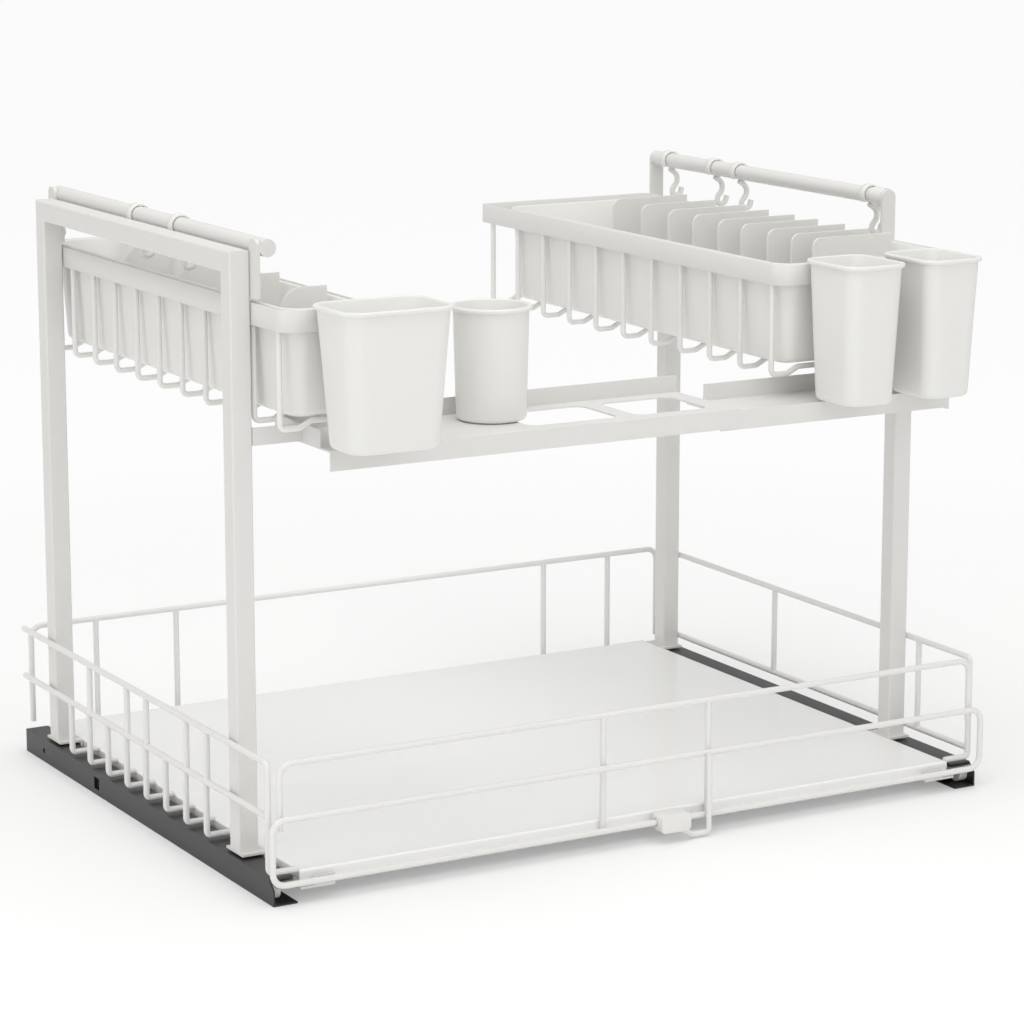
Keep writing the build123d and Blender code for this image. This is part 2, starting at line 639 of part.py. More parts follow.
def basket(low_x, front, width, length):
    """Rim strip with U-shaped wires welded inside it."""
    mid_x = low_x + width / 2
    mid_y = front + length / 2
    low_z = RIM_TOP - RIM_HEIGHT
    strip = Pos(mid_x, mid_y, low_z + RIM_HEIGHT / 2) * Box(width, length, RIM_HEIGHT)
    uprights = strip.edges().filter_by(Axis.Z).sort_by(Axis.Y)
    strip = fillet(uprights[:2], RIM_FRONT_CORNER)
    uprights = strip.edges().filter_by(Axis.Z).sort_by(Axis.Y)
    strip = fillet(uprights[-2:], RIM_BACK_CORNER)
    hollow = Pos(mid_x, mid_y, low_z + RIM_HEIGHT / 2) * Box(
        width - RIM_SHEET * 2, length - RIM_SHEET * 2, RIM_HEIGHT + CUT_OVERRUN)
    inner = hollow.edges().filter_by(Axis.Z).sort_by(Axis.Y)
    hollow = fillet(inner[:2], RIM_FRONT_CORNER - RIM_SHEET)
    inner = hollow.edges().filter_by(Axis.Z).sort_by(Axis.Y)
    hollow = fillet(inner[-2:], RIM_BACK_CORNER - RIM_SHEET)
    strip -= hollow
    near = low_x + RIM_SHEET + BASKET_WIRE - WELD_SINK
    far = low_x + width - RIM_SHEET - BASKET_WIRE + WELD_SINK
    top = RIM_TOP - BASKET_WIRE_TOP_GAP
    low = BASKET_WIRE_LOW
    high = low + BASKET_WIRE_RISE
    run, slope = BASKET_LOW_RUN, BASKET_SLOPE_RUN
    first = front + BASKET_END_MARGIN
    step = (length - BASKET_END_MARGIN * 2) / (BASKET_WIRE_COUNT - 1)
    pieces = [strip]
    for i in range(BASKET_WIRE_COUNT):
        y = first + i * step
        points = [(near, y, top), (near, y, low), (near + run, y, low), (near + run + slope, y, high),
                  (far - run - slope, y, high), (far - run, y, low), (far, y, low), (far, y, top)]
        pieces.append(wire(points, BASKET_WIRE))
    return fused(pieces)


def bin_tub(low_x, front, width, length):
    """Tub that stands on the wires of a basket whose inside it fills over the given length."""
    mouth_width, mouth_length = width - BIN_INSET * 2, length - BIN_INSET * 2
    height = RIM_TOP - BIN_FLOOR
    tub = tapered_tub(mouth_width, mouth_length, BIN_TOP_CORNER, BIN_FLOOR_CORNER, BIN_TAPER, height,
                      BIN_WALL)
    lip_z = height - BIN_LIP_SHEET / 2
    lip = Pos(0, 0, lip_z) * Box(mouth_width + BIN_LIP * 2, mouth_length + BIN_LIP * 2, BIN_LIP_SHEET)
    lip = fillet(lip.edges().filter_by(Axis.Z), BIN_TOP_CORNER)
    hole = Pos(0, 0, lip_z) * rounded_profile(mouth_width - BIN_WALL, mouth_length - BIN_WALL,
                                              BIN_TOP_CORNER)
    tub = tub + (lip - extrude(hole, amount=BIN_LIP_SHEET, both=True))
    return Pos(low_x + width / 2, front + length / 2, BIN_FLOOR) * tub


def dividers(low_x, front, width, length, shares, plate_width, corner):
    """Thin plates in the outer part of a bin, each with its free upper corner rounded off."""
    wall = low_x + width - BIN_INSET - BIN_WALL - BIN_TAPER - DIVIDER_FOOT_GAP
    low_z = BIN_FLOOR + BIN_WALL + DIVIDER_FOOT_GAP
    plates = []
    for share in shares:
        y = front + BIN_INSET + (length - BIN_INSET * 2) * share
        plate = block((wall - plate_width, wall), (y - DIVIDER_SHEET / 2, y + DIVIDER_SHEET / 2),
                      (low_z, RIM_TOP + DIVIDER_RISE))
        corners = plate.edges().filter_by(Axis.Y).sort_by(Axis.Z)[-2:].sort_by(Axis.X)
        plates.append(fillet(corners[0], corner))
    return Compound(children=plates)


# Hook bars and hooks


def rounded_strip(plane, width, height):
    """Flat strip standing on the plane's origin with a half-round top."""
    body = Pos(0, (height - width / 2) / 2) * Rectangle(width, height - width / 2)
    top = Pos(0, height - width / 2) * Circle(width / 2)
    return plane * (body + top)


def left_rod_centre():
    return LEFT_X + HALF_TUBE + ARM_SHEET + ROD_RADIUS - WELD_SINK, LEFT_ROD_HEIGHT


def right_rod_centre():
    return RIGHT_BASKET_HIGH_X + ROD_RIM_GAP + ROD_RADIUS, RIGHT_ROD_HEIGHT


def left_rod_ends():
    """Outer edges of the arms that carry the left rod, in front of and behind the posts."""
    out = ARM_WIDTH - LEFT_ARM_OVERLAP + HALF_TUBE
    return POST_FRONT - out, POST_BACK + out


def right_arm_places():
    front = RIGHT_BASKET_FRONT + RIGHT_ARM_FRONT_INSET
    return front, front + RIGHT_ROD_LENGTH


def arm(rod, face, y, turn, bottom, foot_top):
    """Flat strip across the rod's end, with a foot turned along the face that carries it."""
    x, z = rod
    plane = Plane(origin=(x, y, bottom), x_dir=(1, 0, 0), z_dir=(0, -1, 0))
    strip = extrude(rounded_strip(plane, ARM_WIDTH, z + ROD_RADIUS - bottom), amount=-turn * ARM_SHEET)
    side = 1 if x > face else -1
    foot = block((face, face + side * ARM_SHEET), (y + turn * ARM_SHEET, y - turn * ARM_FOOT),
                 (bottom, foot_top))
    web = block((face, x), (y, y + turn * ARM_SHEET), (bottom, foot_top))
    return strip + foot + web


def left_arm(edge, turn):
    """Flat plate on a post's inner face, whose upright strip carries the rod from the side."""
    face = LEFT_X + HALF_TUBE
    xs = (face, face + ARM_SHEET)
    foot_top = LEFT_ARM_BOTTOM + LEFT_ARM_FOOT_HEIGHT
    foot = block(xs, (edge, edge + turn * LEFT_ARM_FOOT), (LEFT_ARM_BOTTOM, foot_top))
    top = LEFT_ROD_HEIGHT + ROD_RADIUS
    strip = block(xs, (edge, edge + turn * ARM_WIDTH), (LEFT_ARM_BOTTOM, top))
    corners = strip.edges().filter_by(Axis.X).sort_by(Axis.Z)[-2:]
    return fillet(corners, ARM_ROUND) + foot


def left_arms():
    front, back = left_rod_ends()
    seat = left_rod()
    return Compound(children=[left_arm(front, 1) - seat, left_arm(back, -1) - seat])


def right_arms():
    front, back = right_arm_places()
    bottom = RIM_TOP - RIM_HEIGHT
    return Compound(children=[
        arm(right_rod_centre(), RIGHT_BASKET_HIGH_X, front, -1, bottom, RIM_TOP),
        arm(right_rod_centre(), RIGHT_BASKET_HIGH_X, back, 1, bottom, RIM_TOP)])


def left_rod():
    return rod(left_rod_centre(), left_rod_ends())


def right_rod():
    return rod(right_rod_centre(), right_arm_places())


def rod(centre, ends):
    x, z = centre
    return cylinder((x, sum(ends) / 2, z), (0, 1, 0), ROD_RADIUS, ends[1] - ends[0])


def collar(x, y, z):
    ring = cylinder((x, y, z), (0, 1, 0), COLLAR_RADIUS, COLLAR_LENGTH)
    half = COLLAR_NUB_WIDTH / 2
    nub = block((x - half, x + half), (y - half, y + half), (z, z - COLLAR_RADIUS - COLLAR_NUB))
    return (ring + nub) - cylinder((x, y, z), (0, 1, 0), ROD_RADIUS, COLLAR_LENGTH + CUT_OVERRUN)


def rod_collar():
    x, z = right_rod_centre()
    return collar(x, right_arm_places()[0] + COLLAR_LENGTH / 2, z)


def hook(x, y, z):
    """Open ring that clips on the rod, with a flat-sided S-shaped stem below it."""
    inner = ROD_RADIUS + HOOK_RING_GAP
    outer = inner + HOOK_RING_SHEET
    plane = Plane(origin=(x, y, z), x_dir=(1, 0, 0), z_dir=(0, 1, 0))
    ring = extrude(plane * RegularPolygon(outer, HOOK_RING_SIDES, major_radius=False),
                   amount=HOOK_RING_WIDTH / 2, both=True)
    bore = extrude(plane * RegularPolygon(inner, HOOK_RING_SIDES, major_radius=False),
                   amount=HOOK_RING_WIDTH, both=True)
    half = HOOK_RING_WIDTH / 2 + CUT_OVERRUN
    mouth = block((x - HOOK_MOUTH, x - HOOK_WIRE), (y - half, y + half), (z - outer * 2, z - inner / 2))
    bottom = z - outer + HOOK_RING_SHEET / 2
    stem = [(x + BOW_SHARES[i][0] * HOOK_BOW, y, bottom - BOW_SHARES[i][1] * HOOK_STEM)
            for i in range(len(BOW_SHARES))]
    return (ring - bore - mouth) + (wire(stem, HOOK_WIRE) - bore)


# Cups


def square_cup(mid_x, basket_front, width, depth, height, corner, taper, tab_x=0.0):
    """Tapered cup with a rolled rim and a tab that hangs over the basket's front rim."""
    tub = tapered_tub(width - CUP_RIM * 2, depth - CUP_RIM * 2, corner, corner, taper, height, CUP_WALL)
    rim_z = height - CUP_RIM_HEIGHT / 2
    rim = Pos(0, 0, rim_z) * Box(width, depth, CUP_RIM_HEIGHT)
    rim = fillet(rim.edges().filter_by(Axis.Z), corner)
    mouth = extrude(Pos(0, 0, rim_z) * rounded_profile(
        width - (CUP_RIM + CUP_WALL) * 2 + CUP_WALL, depth - (CUP_RIM + CUP_WALL) * 2 + CUP_WALL,
        corner - CUP_RIM), amount=CUP_RIM_HEIGHT, both=True)
    cup = tub + (rim - mouth)
    back = depth / 2
    over = CUP_HANG_GAP * 2 + RIM_SHEET
    seat = RIM_TOP + SEAT_GAP - CUP_RIM_TOP + height
    tab_half = CUP_TAB_WIDTH / 2
    bridge = block((tab_x - tab_half, tab_x + tab_half), (back - CUP_RIM, back + over + CUP_TAB_SHEET),
                   (seat, seat + CUP_TAB_SHEET))
    drop = block((tab_x - tab_half, tab_x + tab_half), (back + over, back + over + CUP_TAB_SHEET),
                 (seat - CUP_TAB_DROP, seat + CUP_TAB_SHEET))
    cup = cup + bridge + drop
    return Pos(mid_x, basket_front - CUP_HANG_GAP - back, CUP_RIM_TOP - height) * cup


def round_cup():
    """Turned cup, a little narrower at its foot, with a thick rim."""
    low = ROUND_CUP_RADIUS - ROUND_CUP_TAPER - CUP_RIM
    high = ROUND_CUP_RADIUS - CUP_RIM
    h = ROUND_CUP_HEIGHT
    outline = Polyline(
        (0, 0), (low, 0), (high, h - CUP_RIM_HEIGHT), (ROUND_CUP_RADIUS, h - CUP_RIM_HEIGHT),
        (ROUND_CUP_RADIUS, h), (high - CUP_WALL, h), (low - CUP_WALL, CUP_WALL), (0, CUP_WALL),
        close=True)
    cup = revolve(Plane.XZ * make_face(outline), axis=Axis.Z)
    return Pos(LEFT_X + ROUND_CUP_OFFSET, POST_FRONT + ROUND_CUP_BACK, SHELF_TOP + SEAT_GAP) * cup


# Bridge shelf


def shelf_tray(low_x, high_x, front, depth, level):
    """Flat sheet with its front edge folded down."""
    floor = block((low_x, high_x), (front, front + depth), (level - SHELF_SHEET, level))
    apron = block((low_x, high_x), (front, front + SHELF_SHEET), (level - SHELF_APRON, level))
    return floor + apron


def shelf_left():
    low = LEFT_X + SHELF_LEFT_START
    high = low + SHELF_LEFT_LENGTH
    edge = POST_FRONT - SHELF_FRONT
    rear = edge + SHELF_LEFT_DEPTH
    tray = shelf_tray(low, high, edge, SHELF_LEFT_DEPTH, SHELF_TOP)
    walls = (SHELF_TOP - SHELF_SHEET, SHELF_TOP + SHELF_WALL)
    tray += block((low, high), (rear - SHELF_SHEET, rear), walls)
    tray += block((low, low + SHELF_SHEET), (edge + SHELF_FRAME, rear), walls)
    front = edge + SHELF_FRAME
    back = rear - SHELF_FRAME
    bar = low + SHELF_LEFT_LENGTH * SHELF_CUT_BAR_SHARE
    spans = [(low + SHELF_LEFT_LENGTH * SHELF_CUT_START_SHARE, bar - SHELF_BAR / 2),
             (bar + SHELF_BAR / 2, high - SHELF_FRAME)]
    for start, end in spans:
        cut = block((start, end), (front, back), (SHELF_TOP - SHELF_SHEET - CUT_OVERRUN,
                                                  SHELF_TOP + CUT_OVERRUN))
        tray -= fillet(cut.edges().filter_by(Axis.Z), SHELF_CUT_ROUND)
    return tray


def shelf_right():
    """Lies under the left part where the two overlap; its back wall starts beyond it."""
    left_end = LEFT_X + SHELF_LEFT_START + SHELF_LEFT_LENGTH
    high = RIGHT_X - HALF_TUBE - SHELF_BRACKET_SHEET
    level = SHELF_TOP - SHELF_SHEET
    front = POST_FRONT - SHELF_FRONT + SHELF_SHEET
    rear = front + SHELF_RIGHT_DEPTH
    tray = shelf_tray(left_end - SHELF_OVERLAP, high, front, SHELF_RIGHT_DEPTH, level)
    return tray + block((left_end + SEAT_GAP, high), (rear - SHELF_SHEET, rear),
                        (level - SHELF_SHEET, level + SHELF_WALL))


def shelf_bracket_left():
    """Strip from the left front post to the shelf's end wall."""
    post = LEFT_X + HALF_TUBE
    wall = LEFT_X + SHELF_LEFT_START
    low = SHELF_TOP
    high = SHELF_TOP + SHELF_WALL
    front = POST_FRONT - HALF_TUBE
    strip = block((post, wall), (front, front + SHELF_BRACKET_SHEET), (low, high))
    at_post = block((post, post + SHELF_BRACKET_SHEET), (front, front + TUBE), (low, high))
    at_wall = block((wall - SHELF_BRACKET_SHEET, wall), (front, front + TUBE), (low, high))
    return strip + at_post + at_wall


def shelf_bracket_right():
    """Plate on the right front post's inner face, reaching forward to the shelf's end."""
    post = RIGHT_X - HALF_TUBE
    front = POST_FRONT - SHELF_FRONT + SHELF_SHEET
    return block((post - SHELF_BRACKET_SHEET, post), (front, RIGHT_POST_FRONT + HALF_TUBE),
                 (SHELF_TOP - SHELF_SHEET - SHELF_BRACKET_WIDTH, SHELF_TOP - SHELF_SHEET))


# Pull


def pull_points():
    x = LEFT_X + PULL_WIRE_OFFSET
    y = FENCE_FRONT - PULL_WIRE_OUT
    low = PULL_WIRE_LOW
    return [(x, y, FENCE_MID), (x, y, low + FENCE_WIRE), (x - FENCE_WIRE, y, low),
            (x - PULL_WIRE_RUN, y, low), (x - PULL_WIRE_END, y, low + PULL_WIRE_END_HEIGHT)]


def pull_tab():
    """Moulded grip on the front fence's bottom wire, with the pull wire's end in it."""
    x = LEFT_X + TAB_OFFSET
    half = TAB_LENGTH / 2
    ys = (FENCE_FRONT - PULL_WIRE_OUT - TAB_DEPTH / 2, FENCE_FRONT + TAB_DEPTH / 2)
    grip = block((x - half, x + half), ys, (FENCE_LOW - TAB_HEIGHT / 2, FENCE_LOW + TAB_HEIGHT / 2))
    grip = fillet(grip.edges().filter_by(Axis.Y), TAB_ROUND)
    bore = FENCE_REACH + TAB_CLEARANCE
    grip -= cylinder((x, FENCE_FRONT, FENCE_LOW), (1, 0, 0), bore, TAB_LENGTH + CUT_OVERRUN)
    return grip - wire(pull_points(), FENCE_WIRE + TAB_CLEARANCE)


# Screws


def screw_head(face_point, direction):
    """Head of a screw that stands on a face; its shank is left out."""
    out = Vector(*direction)
    plane = Plane(origin=face_point, z_dir=out)
    return extrude(plane * RegularPolygon(SCREW_HEAD_RADIUS, SCREW_SIDES), amount=SCREW_HEAD)


def screw_heads():
    heads = []
    inner = LEFT_X + HALF_TUBE + ARM_SHEET
    for y in (POST_FRONT, POST_BACK):
        heads.append(screw_head((inner, y, LEFT_ARM_BOTTOM + LEFT_ARM_FOOT_HEIGHT / 2), (1, 0, 0)))
    post = LEFT_X + HALF_TUBE + SHELF_BRACKET_SHEET
    heads.append(screw_head((post, POST_FRONT, SHELF_TOP + SHELF_WALL / 2), (1, 0, 0)))
    plate = RIGHT_X - HALF_TUBE - SHELF_BRACKET_SHEET
    heads.append(screw_head((plate, RIGHT_POST_FRONT, SHELF_TOP - SHELF_SHEET - SHELF_BRACKET_WIDTH / 2),
                            (-1, 0, 0)))
    face = RIGHT_BASKET_HIGH_X + ARM_SHEET
    for y in right_arm_places():
        inboard = ARM_FOOT / 2 if y < 0 else -ARM_FOOT / 2
        heads.append(screw_head((face, y + inboard, RIM_TOP - RIM_HEIGHT / 2), (1, 0, 0)))
    return Compound(children=heads)


def main():
    rails = {name: slide_rail(*side) for name, side in SIDES.items()}
    for name, (x, inward) in SIDES.items():
        save(rails[name], "slide_rail_" + name)
        save(rail_bumper(x, inward), "rail_bumper_" + name)
        save(runner(x, inward), "runner_" + name)
        middle = roller_middle(x, inward)
        save(roller(middle, RAIL_FRONT + ROLLER_END, roller_front_z()), "roller_front_" + name)
        save(roller(middle, RUNNER_BACK - ROLLER_END, roller_back_z()), "roller_back_" + name)
        save(front_axle(x, inward), "axle_front_" + name)
        save(back_axle(x, inward), "axle_back_" + name)
        feet = [gate_foot(x, inward, y) for y in POSTS[name]]
        save(Compound(children=feet), "gate_feet_" + name)
        save(front_bracket(x, inward), "front_bracket_" + name)
    save(floor_panel(), "floor_panel")
    save(gate(LEFT_X, *POSTS["left"], LEFT_GATE_TOP), "gate_left")
    save(gate(RIGHT_X, *POSTS["right"], RIGHT_GATE_TOP), "gate_right")
    save(front_fence_lower(), "front_fence_lower")
    save(front_fence_upper(), "front_fence_upper")
    save(left_fence_lower(), "left_fence_lower")
    save(left_fence_upper(), "left_fence_upper")
    save(right_fence(), "right_fence")
    save(back_fence(), "back_fence")
    left = (LEFT_BASKET_LOW_X, LEFT_BASKET_FRONT, LEFT_BASKET_WIDTH)
    right = (RIGHT_BASKET_LOW_X, RIGHT_BASKET_FRONT, RIGHT_BASKET_WIDTH)
    right_bin = RIGHT_BASKET_LENGTH - RIGHT_BIN_BACK_GAP
    save(basket(*left, LEFT_BASKET_LENGTH), "basket_left")
    save(basket(*right, RIGHT_BASKET_LENGTH), "basket_right")
    save(bin_tub(*left, LEFT_BASKET_LENGTH), "bin_left")
    save(bin_tub(*right, right_bin), "bin_right")
    save(dividers(*left, LEFT_BASKET_LENGTH, LEFT_DIVIDER_SHARES, LEFT_DIVIDER_WIDTH,
                  LEFT_DIVIDER_CORNER), "dividers_left")
    save(dividers(*right, right_bin, RIGHT_DIVIDER_SHARES, RIGHT_DIVIDER_WIDTH,
                  RIGHT_DIVIDER_CORNER), "dividers_right")
    save(left_rod(), "hook_rod_left")
    save(right_rod(), "hook_rod_right")
    save(left_arms(), "hook_arms_left")
    save(right_arms(), "hook_arms_right")
    save(rod_collar(), "rod_collar")
    x, z = right_rod_centre()
    front, back = right_arm_places()
    for i, share in enumerate(RIGHT_HOOK_SHARES):
        save(hook(x, back - (back - front) * share, z), "hook_right_" + str(i + 1))
    x, z = left_rod_centre()
    for i, share in enumerate(LEFT_HOOK_SHARES):
        save(hook(x, POST_BACK - POST_SPACING * share, z), "hook_left_" + str(i + 1))
    save(square_cup(LEFT_X + BIG_CUP_OFFSET, LEFT_BASKET_FRONT, BIG_CUP_WIDTH, BIG_CUP_DEPTH,
                    BIG_CUP_HEIGHT, BIG_CUP_CORNER, BIG_CUP_TAPER, BIG_CUP_TAB_SHIFT), "cup_left")
    for name, offset in (("cup_right_inner", CUP_INNER_OFFSET), ("cup_right_outer", CUP_OUTER_OFFSET)):
        save(square_cup(RIGHT_BASKET_LOW_X + offset, RIGHT_BASKET_FRONT, CUP_WIDTH, CUP_DEPTH, CUP_HEIGHT,
                        CUP_CORNER, CUP_TAPER), name)
    save(round_cup(), "cup_round")
    save(shelf_left(), "shelf_left")
    save(shelf_right(), "shelf_right")
    save(shelf_bracket_left(), "shelf_bracket_left")
    save(shelf_bracket_right(), "shelf_bracket_right")
    save(wire(pull_points(), FENCE_WIRE), "pull_wire")
    save(pull_tab(), "pull_tab")
    save(screw_heads(), "screw_heads")


main()
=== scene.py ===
import math
from collections import namedtuple

import bpy
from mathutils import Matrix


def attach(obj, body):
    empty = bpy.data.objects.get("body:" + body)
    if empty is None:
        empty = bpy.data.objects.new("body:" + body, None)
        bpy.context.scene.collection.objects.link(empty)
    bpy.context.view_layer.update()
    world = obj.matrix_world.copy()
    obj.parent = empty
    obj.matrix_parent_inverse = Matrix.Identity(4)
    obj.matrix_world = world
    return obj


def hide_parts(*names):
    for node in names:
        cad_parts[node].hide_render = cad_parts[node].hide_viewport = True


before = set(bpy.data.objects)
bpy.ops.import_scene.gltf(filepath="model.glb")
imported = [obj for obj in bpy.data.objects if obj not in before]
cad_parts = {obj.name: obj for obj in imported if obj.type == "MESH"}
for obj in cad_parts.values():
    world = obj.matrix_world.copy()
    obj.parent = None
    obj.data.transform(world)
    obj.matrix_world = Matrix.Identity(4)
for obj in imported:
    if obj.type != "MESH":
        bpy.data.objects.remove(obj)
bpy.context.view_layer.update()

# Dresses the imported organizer: round wires, moulded tubs, soft edges and materials over the CAD model.
# Lengths are in millimetres in the CAD model's frame, except in the room, which is in metres.

MM = 0.001
QUARTER = math.pi / 2
CORNER_MARGIN, CORNER_LEAST = 0.01, 0.05  # what keeps a rounded rectangle's corners apart and open

# Gates and shelf, the same driving values as in the CAD source
LEFT_X, RIGHT_X = -279.0, 279.0  # middles of the gates
POST_FRONT, POST_BACK = -152.0, 172.0  # middles of the left gate's posts
RIGHT_POST_FRONT = -128.0
HALF_TUBE = 7.5
SHELF_TOP = 301.0
WELD_SINK = 0.2
SEAT_GAP = 0.3
HEX_FLAT = math.cos(math.pi / 6)  # radius of the CAD model's six-sided wires over their corners' reach

# Floor panel
PANEL_FOOT = 12.2
PANEL_EDGE = 267.9  # from the middle to the side lips
PANEL_SHEET = 1.2
PANEL_END_GAP = 0.6

# Fences
FENCE_WIRE = 2.25  # wire radius
FENCE_REACH = FENCE_WIRE / HEX_FLAT
FENCE_FRONT, FENCE_BACK = -223.0, 223.4
FENCE_TOP, FENCE_MID, FENCE_LOW = 97.0, 60.0, 14.8
FENCE_CORNER = 9.0
LOOP_SIDE = 12.5  # lower front loop beyond each gate's middle
UPPER_INSET = 8.0  # upper front loop inside the lower one, at each end
FRONT_UPRIGHTS = (246.0, 333.0)  # from the left gate's middle
CORNER_SETBACK = 11.5  # side fence's front upright, behind the front fence
SIDE_HOOK_LOW, SIDE_HOOK_BEND = 21.0, 3.5
TALL_POSTS = (37.0, 71.2, 140.2, 174.7, 243.7)  # behind the left front post
BENT_COUNT, BENT_FIRST, BENT_PITCH = 8, 39.0, 34.5  # left fence's bent wires, behind the same post
RIGHT_UPRIGHTS = (176.0, -20.0)  # from the right front post
RIGHT_FENCE_RISE = 6.5  # lower wire above the turned-in end of the top one
BACK_LEFT_OUT, BACK_RIGHT_OUT = 3.5, 6.0  # back fence's ends beyond the gates' middles
BACK_LOW = 22.0  # lower ends of the back fence's sides
BACK_UPRIGHT_SHARES = (0.095, 0.215, 0.805, 0.915)  # of the back fence's width

# Pull wire
PULL_OFFSET = 328.0  # from the left gate's middle
PULL_OUT = 4.7  # in front of the lower loop
PULL_LOW, PULL_END_RISE = 3.2, 9.0
PULL_RUN, PULL_END = 14.0, 29.0
PULL_BEND = 3.0

# Baskets: low side, front end, width and length of the rim, and the length that the bin fills
Basket = namedtuple("Basket", "low_x front width length bin_length")
LEFT_OVERHANG, RIGHT_OVERHANG = 56.0, 34.0  # in front of the left gate's front post
RIGHT_BASKET_OUT = 8.5  # its outer face beyond the right gate's middle
RIGHT_BASKET_FACE = RIGHT_X + RIGHT_BASKET_OUT
RIGHT_BASKET_WIDTH = 157.0
BASKETS = {"left": Basket(LEFT_X + HALF_TUBE + SEAT_GAP, POST_FRONT - LEFT_OVERHANG, 68.0, 415.0, 415.0),
           "right": Basket(RIGHT_BASKET_FACE - RIGHT_BASKET_WIDTH, POST_FRONT - RIGHT_OVERHANG,
                           RIGHT_BASKET_WIDTH, 436.0, 412.0)}
RIM_TOP, RIM_HEIGHT, RIM_SHEET = 397.5, 15.0, 1.5
RIM_CORNERS = (3.0, 3.0, 14.0, 14.0)  # tight at the back, wide in front
RIM_CORNER_LEAST = 0.3
RIM_SOFT = 0.35
BASKET_WIRE = 2.0  # wire radius
BASKET_REACH = BASKET_WIRE / HEX_FLAT
BASKET_WIRE_LOW, BASKET_WIRE_RISE = 317.0, 4.5
BASKET_WIRE_COUNT = 11
BASKET_WIRE_BEND, BASKET_BEND_STEPS = 4.0, 4
BASKET_WIRE_TOP_GAP = 2.0  # wire ends below the rim's top edge
BASKET_END_MARGIN = 14.0  # first and last wire from the rim's ends
BASKET_LOW_RUN, BASKET_STEP_END = 14.0, 23.0  # where a wire's step up starts and ends, from its sides

# Bins
BIN_CLEARANCE = 0.6
BIN_INSET = RIM_SHEET + BASKET_WIRE + BASKET_REACH - WELD_SINK + BIN_CLEARANCE
BIN_FLOOR = BASKET_WIRE_LOW + BASKET_WIRE_RISE + BASKET_REACH + SEAT_GAP
BIN_WALL, BIN_TAPER = 1.8, 5.0
BIN_CORNERS = (16.0, 12.0)  # at the mouth and at the floor
BIN_LIP = (2.0, 1.8)  # outward and in height
BIN_FLOOR_ROUND = 5.0

# Cups
CUP_TOP, CUP_WALL = 402.5, 1.8
CUP_RIM = 2.4
CUP_LIP = (CUP_RIM, 3.2)  # outward and in height
CUP_FLOOR_ROUND = 4.0
CUP_HANG_GAP = 0.4
TAB_HALF, TAB_DROP, TAB_SHEET = 13.0, 12.0, 1.6
TAB_SOFT_END, TAB_SOFT_EDGE, TAB_SHARP_ANGLE = 0.6, 0.4, 30.0
CUP_LEFT_OFFSET = 65.0  # from the left gate's middle
CUP_RIGHT_OFFSETS = {"cup_right_inner": 43.0, "cup_right_outer": 110.0}  # from the basket's low side
# front is that of the basket that carries the cup, and tab_x the tab's shift from the cup's middle
Cup = namedtuple("Cup", "mid_x front width depth height corner taper tab_x")
CUPS = {"cup_left": Cup(LEFT_X + CUP_LEFT_OFFSET, BASKETS["left"].front, 84.0, 62.0, 95.0, 13.0, 6.0,
                        -18.0)}
for name, offset in CUP_RIGHT_OFFSETS.items():
    CUPS[name] = Cup(BASKETS["right"].low_x + offset, BASKETS["right"].front, 53.0, 64.0, 101.0, 11.0,
                     4.0, 0.0)
ROUND_CUP_OFFSET, ROUND_CUP_BACK = 195.0, 2.5  # from the left gate's front post
ROUND_CUP_RADIUS, ROUND_CUP_HEIGHT, ROUND_CUP_TAPER = 26.6, 80.0, 2.0  # radius without the rim
ROUND_CUP_FLOOR_ROUND = 3.0

# What tubs have in common
LIP_BREAK = 0.6  # below the lip, where the wall's last ring stands
MOUTH_EASE = 0.5
INNER_ROUND_SHARE = 1.4  # of the floor's outer rounding
FLOOR_FLAT_SHARE = 3.0  # of a rounding, inward to the flat floor's ring
ROUND_STEPS, INNER_ROUND_STEPS = 4, 5

# Rods and hooks
ROD_RADIUS = 6.0
ROD_RIM_GAP = 1.2  # right rod's side from the right basket's outer face
ROD_TUBE_GAP = 8.3  # left rod's middle from the left gate's inner face
ROD_FRONT_INSET = 100.0  # right rod's front end behind the right basket's front
RIGHT_ROD_X, RIGHT_ROD_HEIGHT = RIGHT_BASKET_FACE + ROD_RIM_GAP + ROD_RADIUS, 427.0
RIGHT_ROD_FRONT, RIGHT_ROD_LENGTH = BASKETS["right"].front + ROD_FRONT_INSET, 328.0
LEFT_ROD_X, LEFT_ROD_HEIGHT = LEFT_X + HALF_TUBE + ROD_TUBE_GAP, 434.0
RIGHT_HOOK_SHARES = (0.06, 0.27, 0.38, 0.93)  # of the rod, from its back end
LEFT_HOOK_SHARES = (0.40, 0.62)  # of the way from the back post to the front one
RING_GAP, RING_SHEET, RING_HALF_WIDTH, RING_SOFT = 0.45, 1.6, 3.25, 0.3
RING_START, RING_END, RING_STEPS = -1.35, 3.85, 40  # the ring's ends in radians
STEM_BOW, STEM_DROP, STEM_WIRE = 7.0, 22.0, 2.2
# Bends of a hook's stem: shares of its bow outward and of its length downward
STEM_BENDS = ((0, 0), (0.9, 0.22), (1, 0.5), (0.4, 0.78), (0.6, 1), (1.4, 0.97), (1.7, 0.72))


# Helpers


def metres(points):
    return [tuple(v * MM for v in p) for p in points]


def unit(v):
    length = math.sqrt(sum(c * c for c in v))
    return tuple(c / length for c in v)


def quarter_turn(steps):
    """Pairs of one less the sine and one less the cosine, along a quarter turn."""
    angles = [QUARTER * k / steps for k in range(steps + 1)]
    return [(1 - math.sin(a), 1 - math.cos(a)) for a in angles]


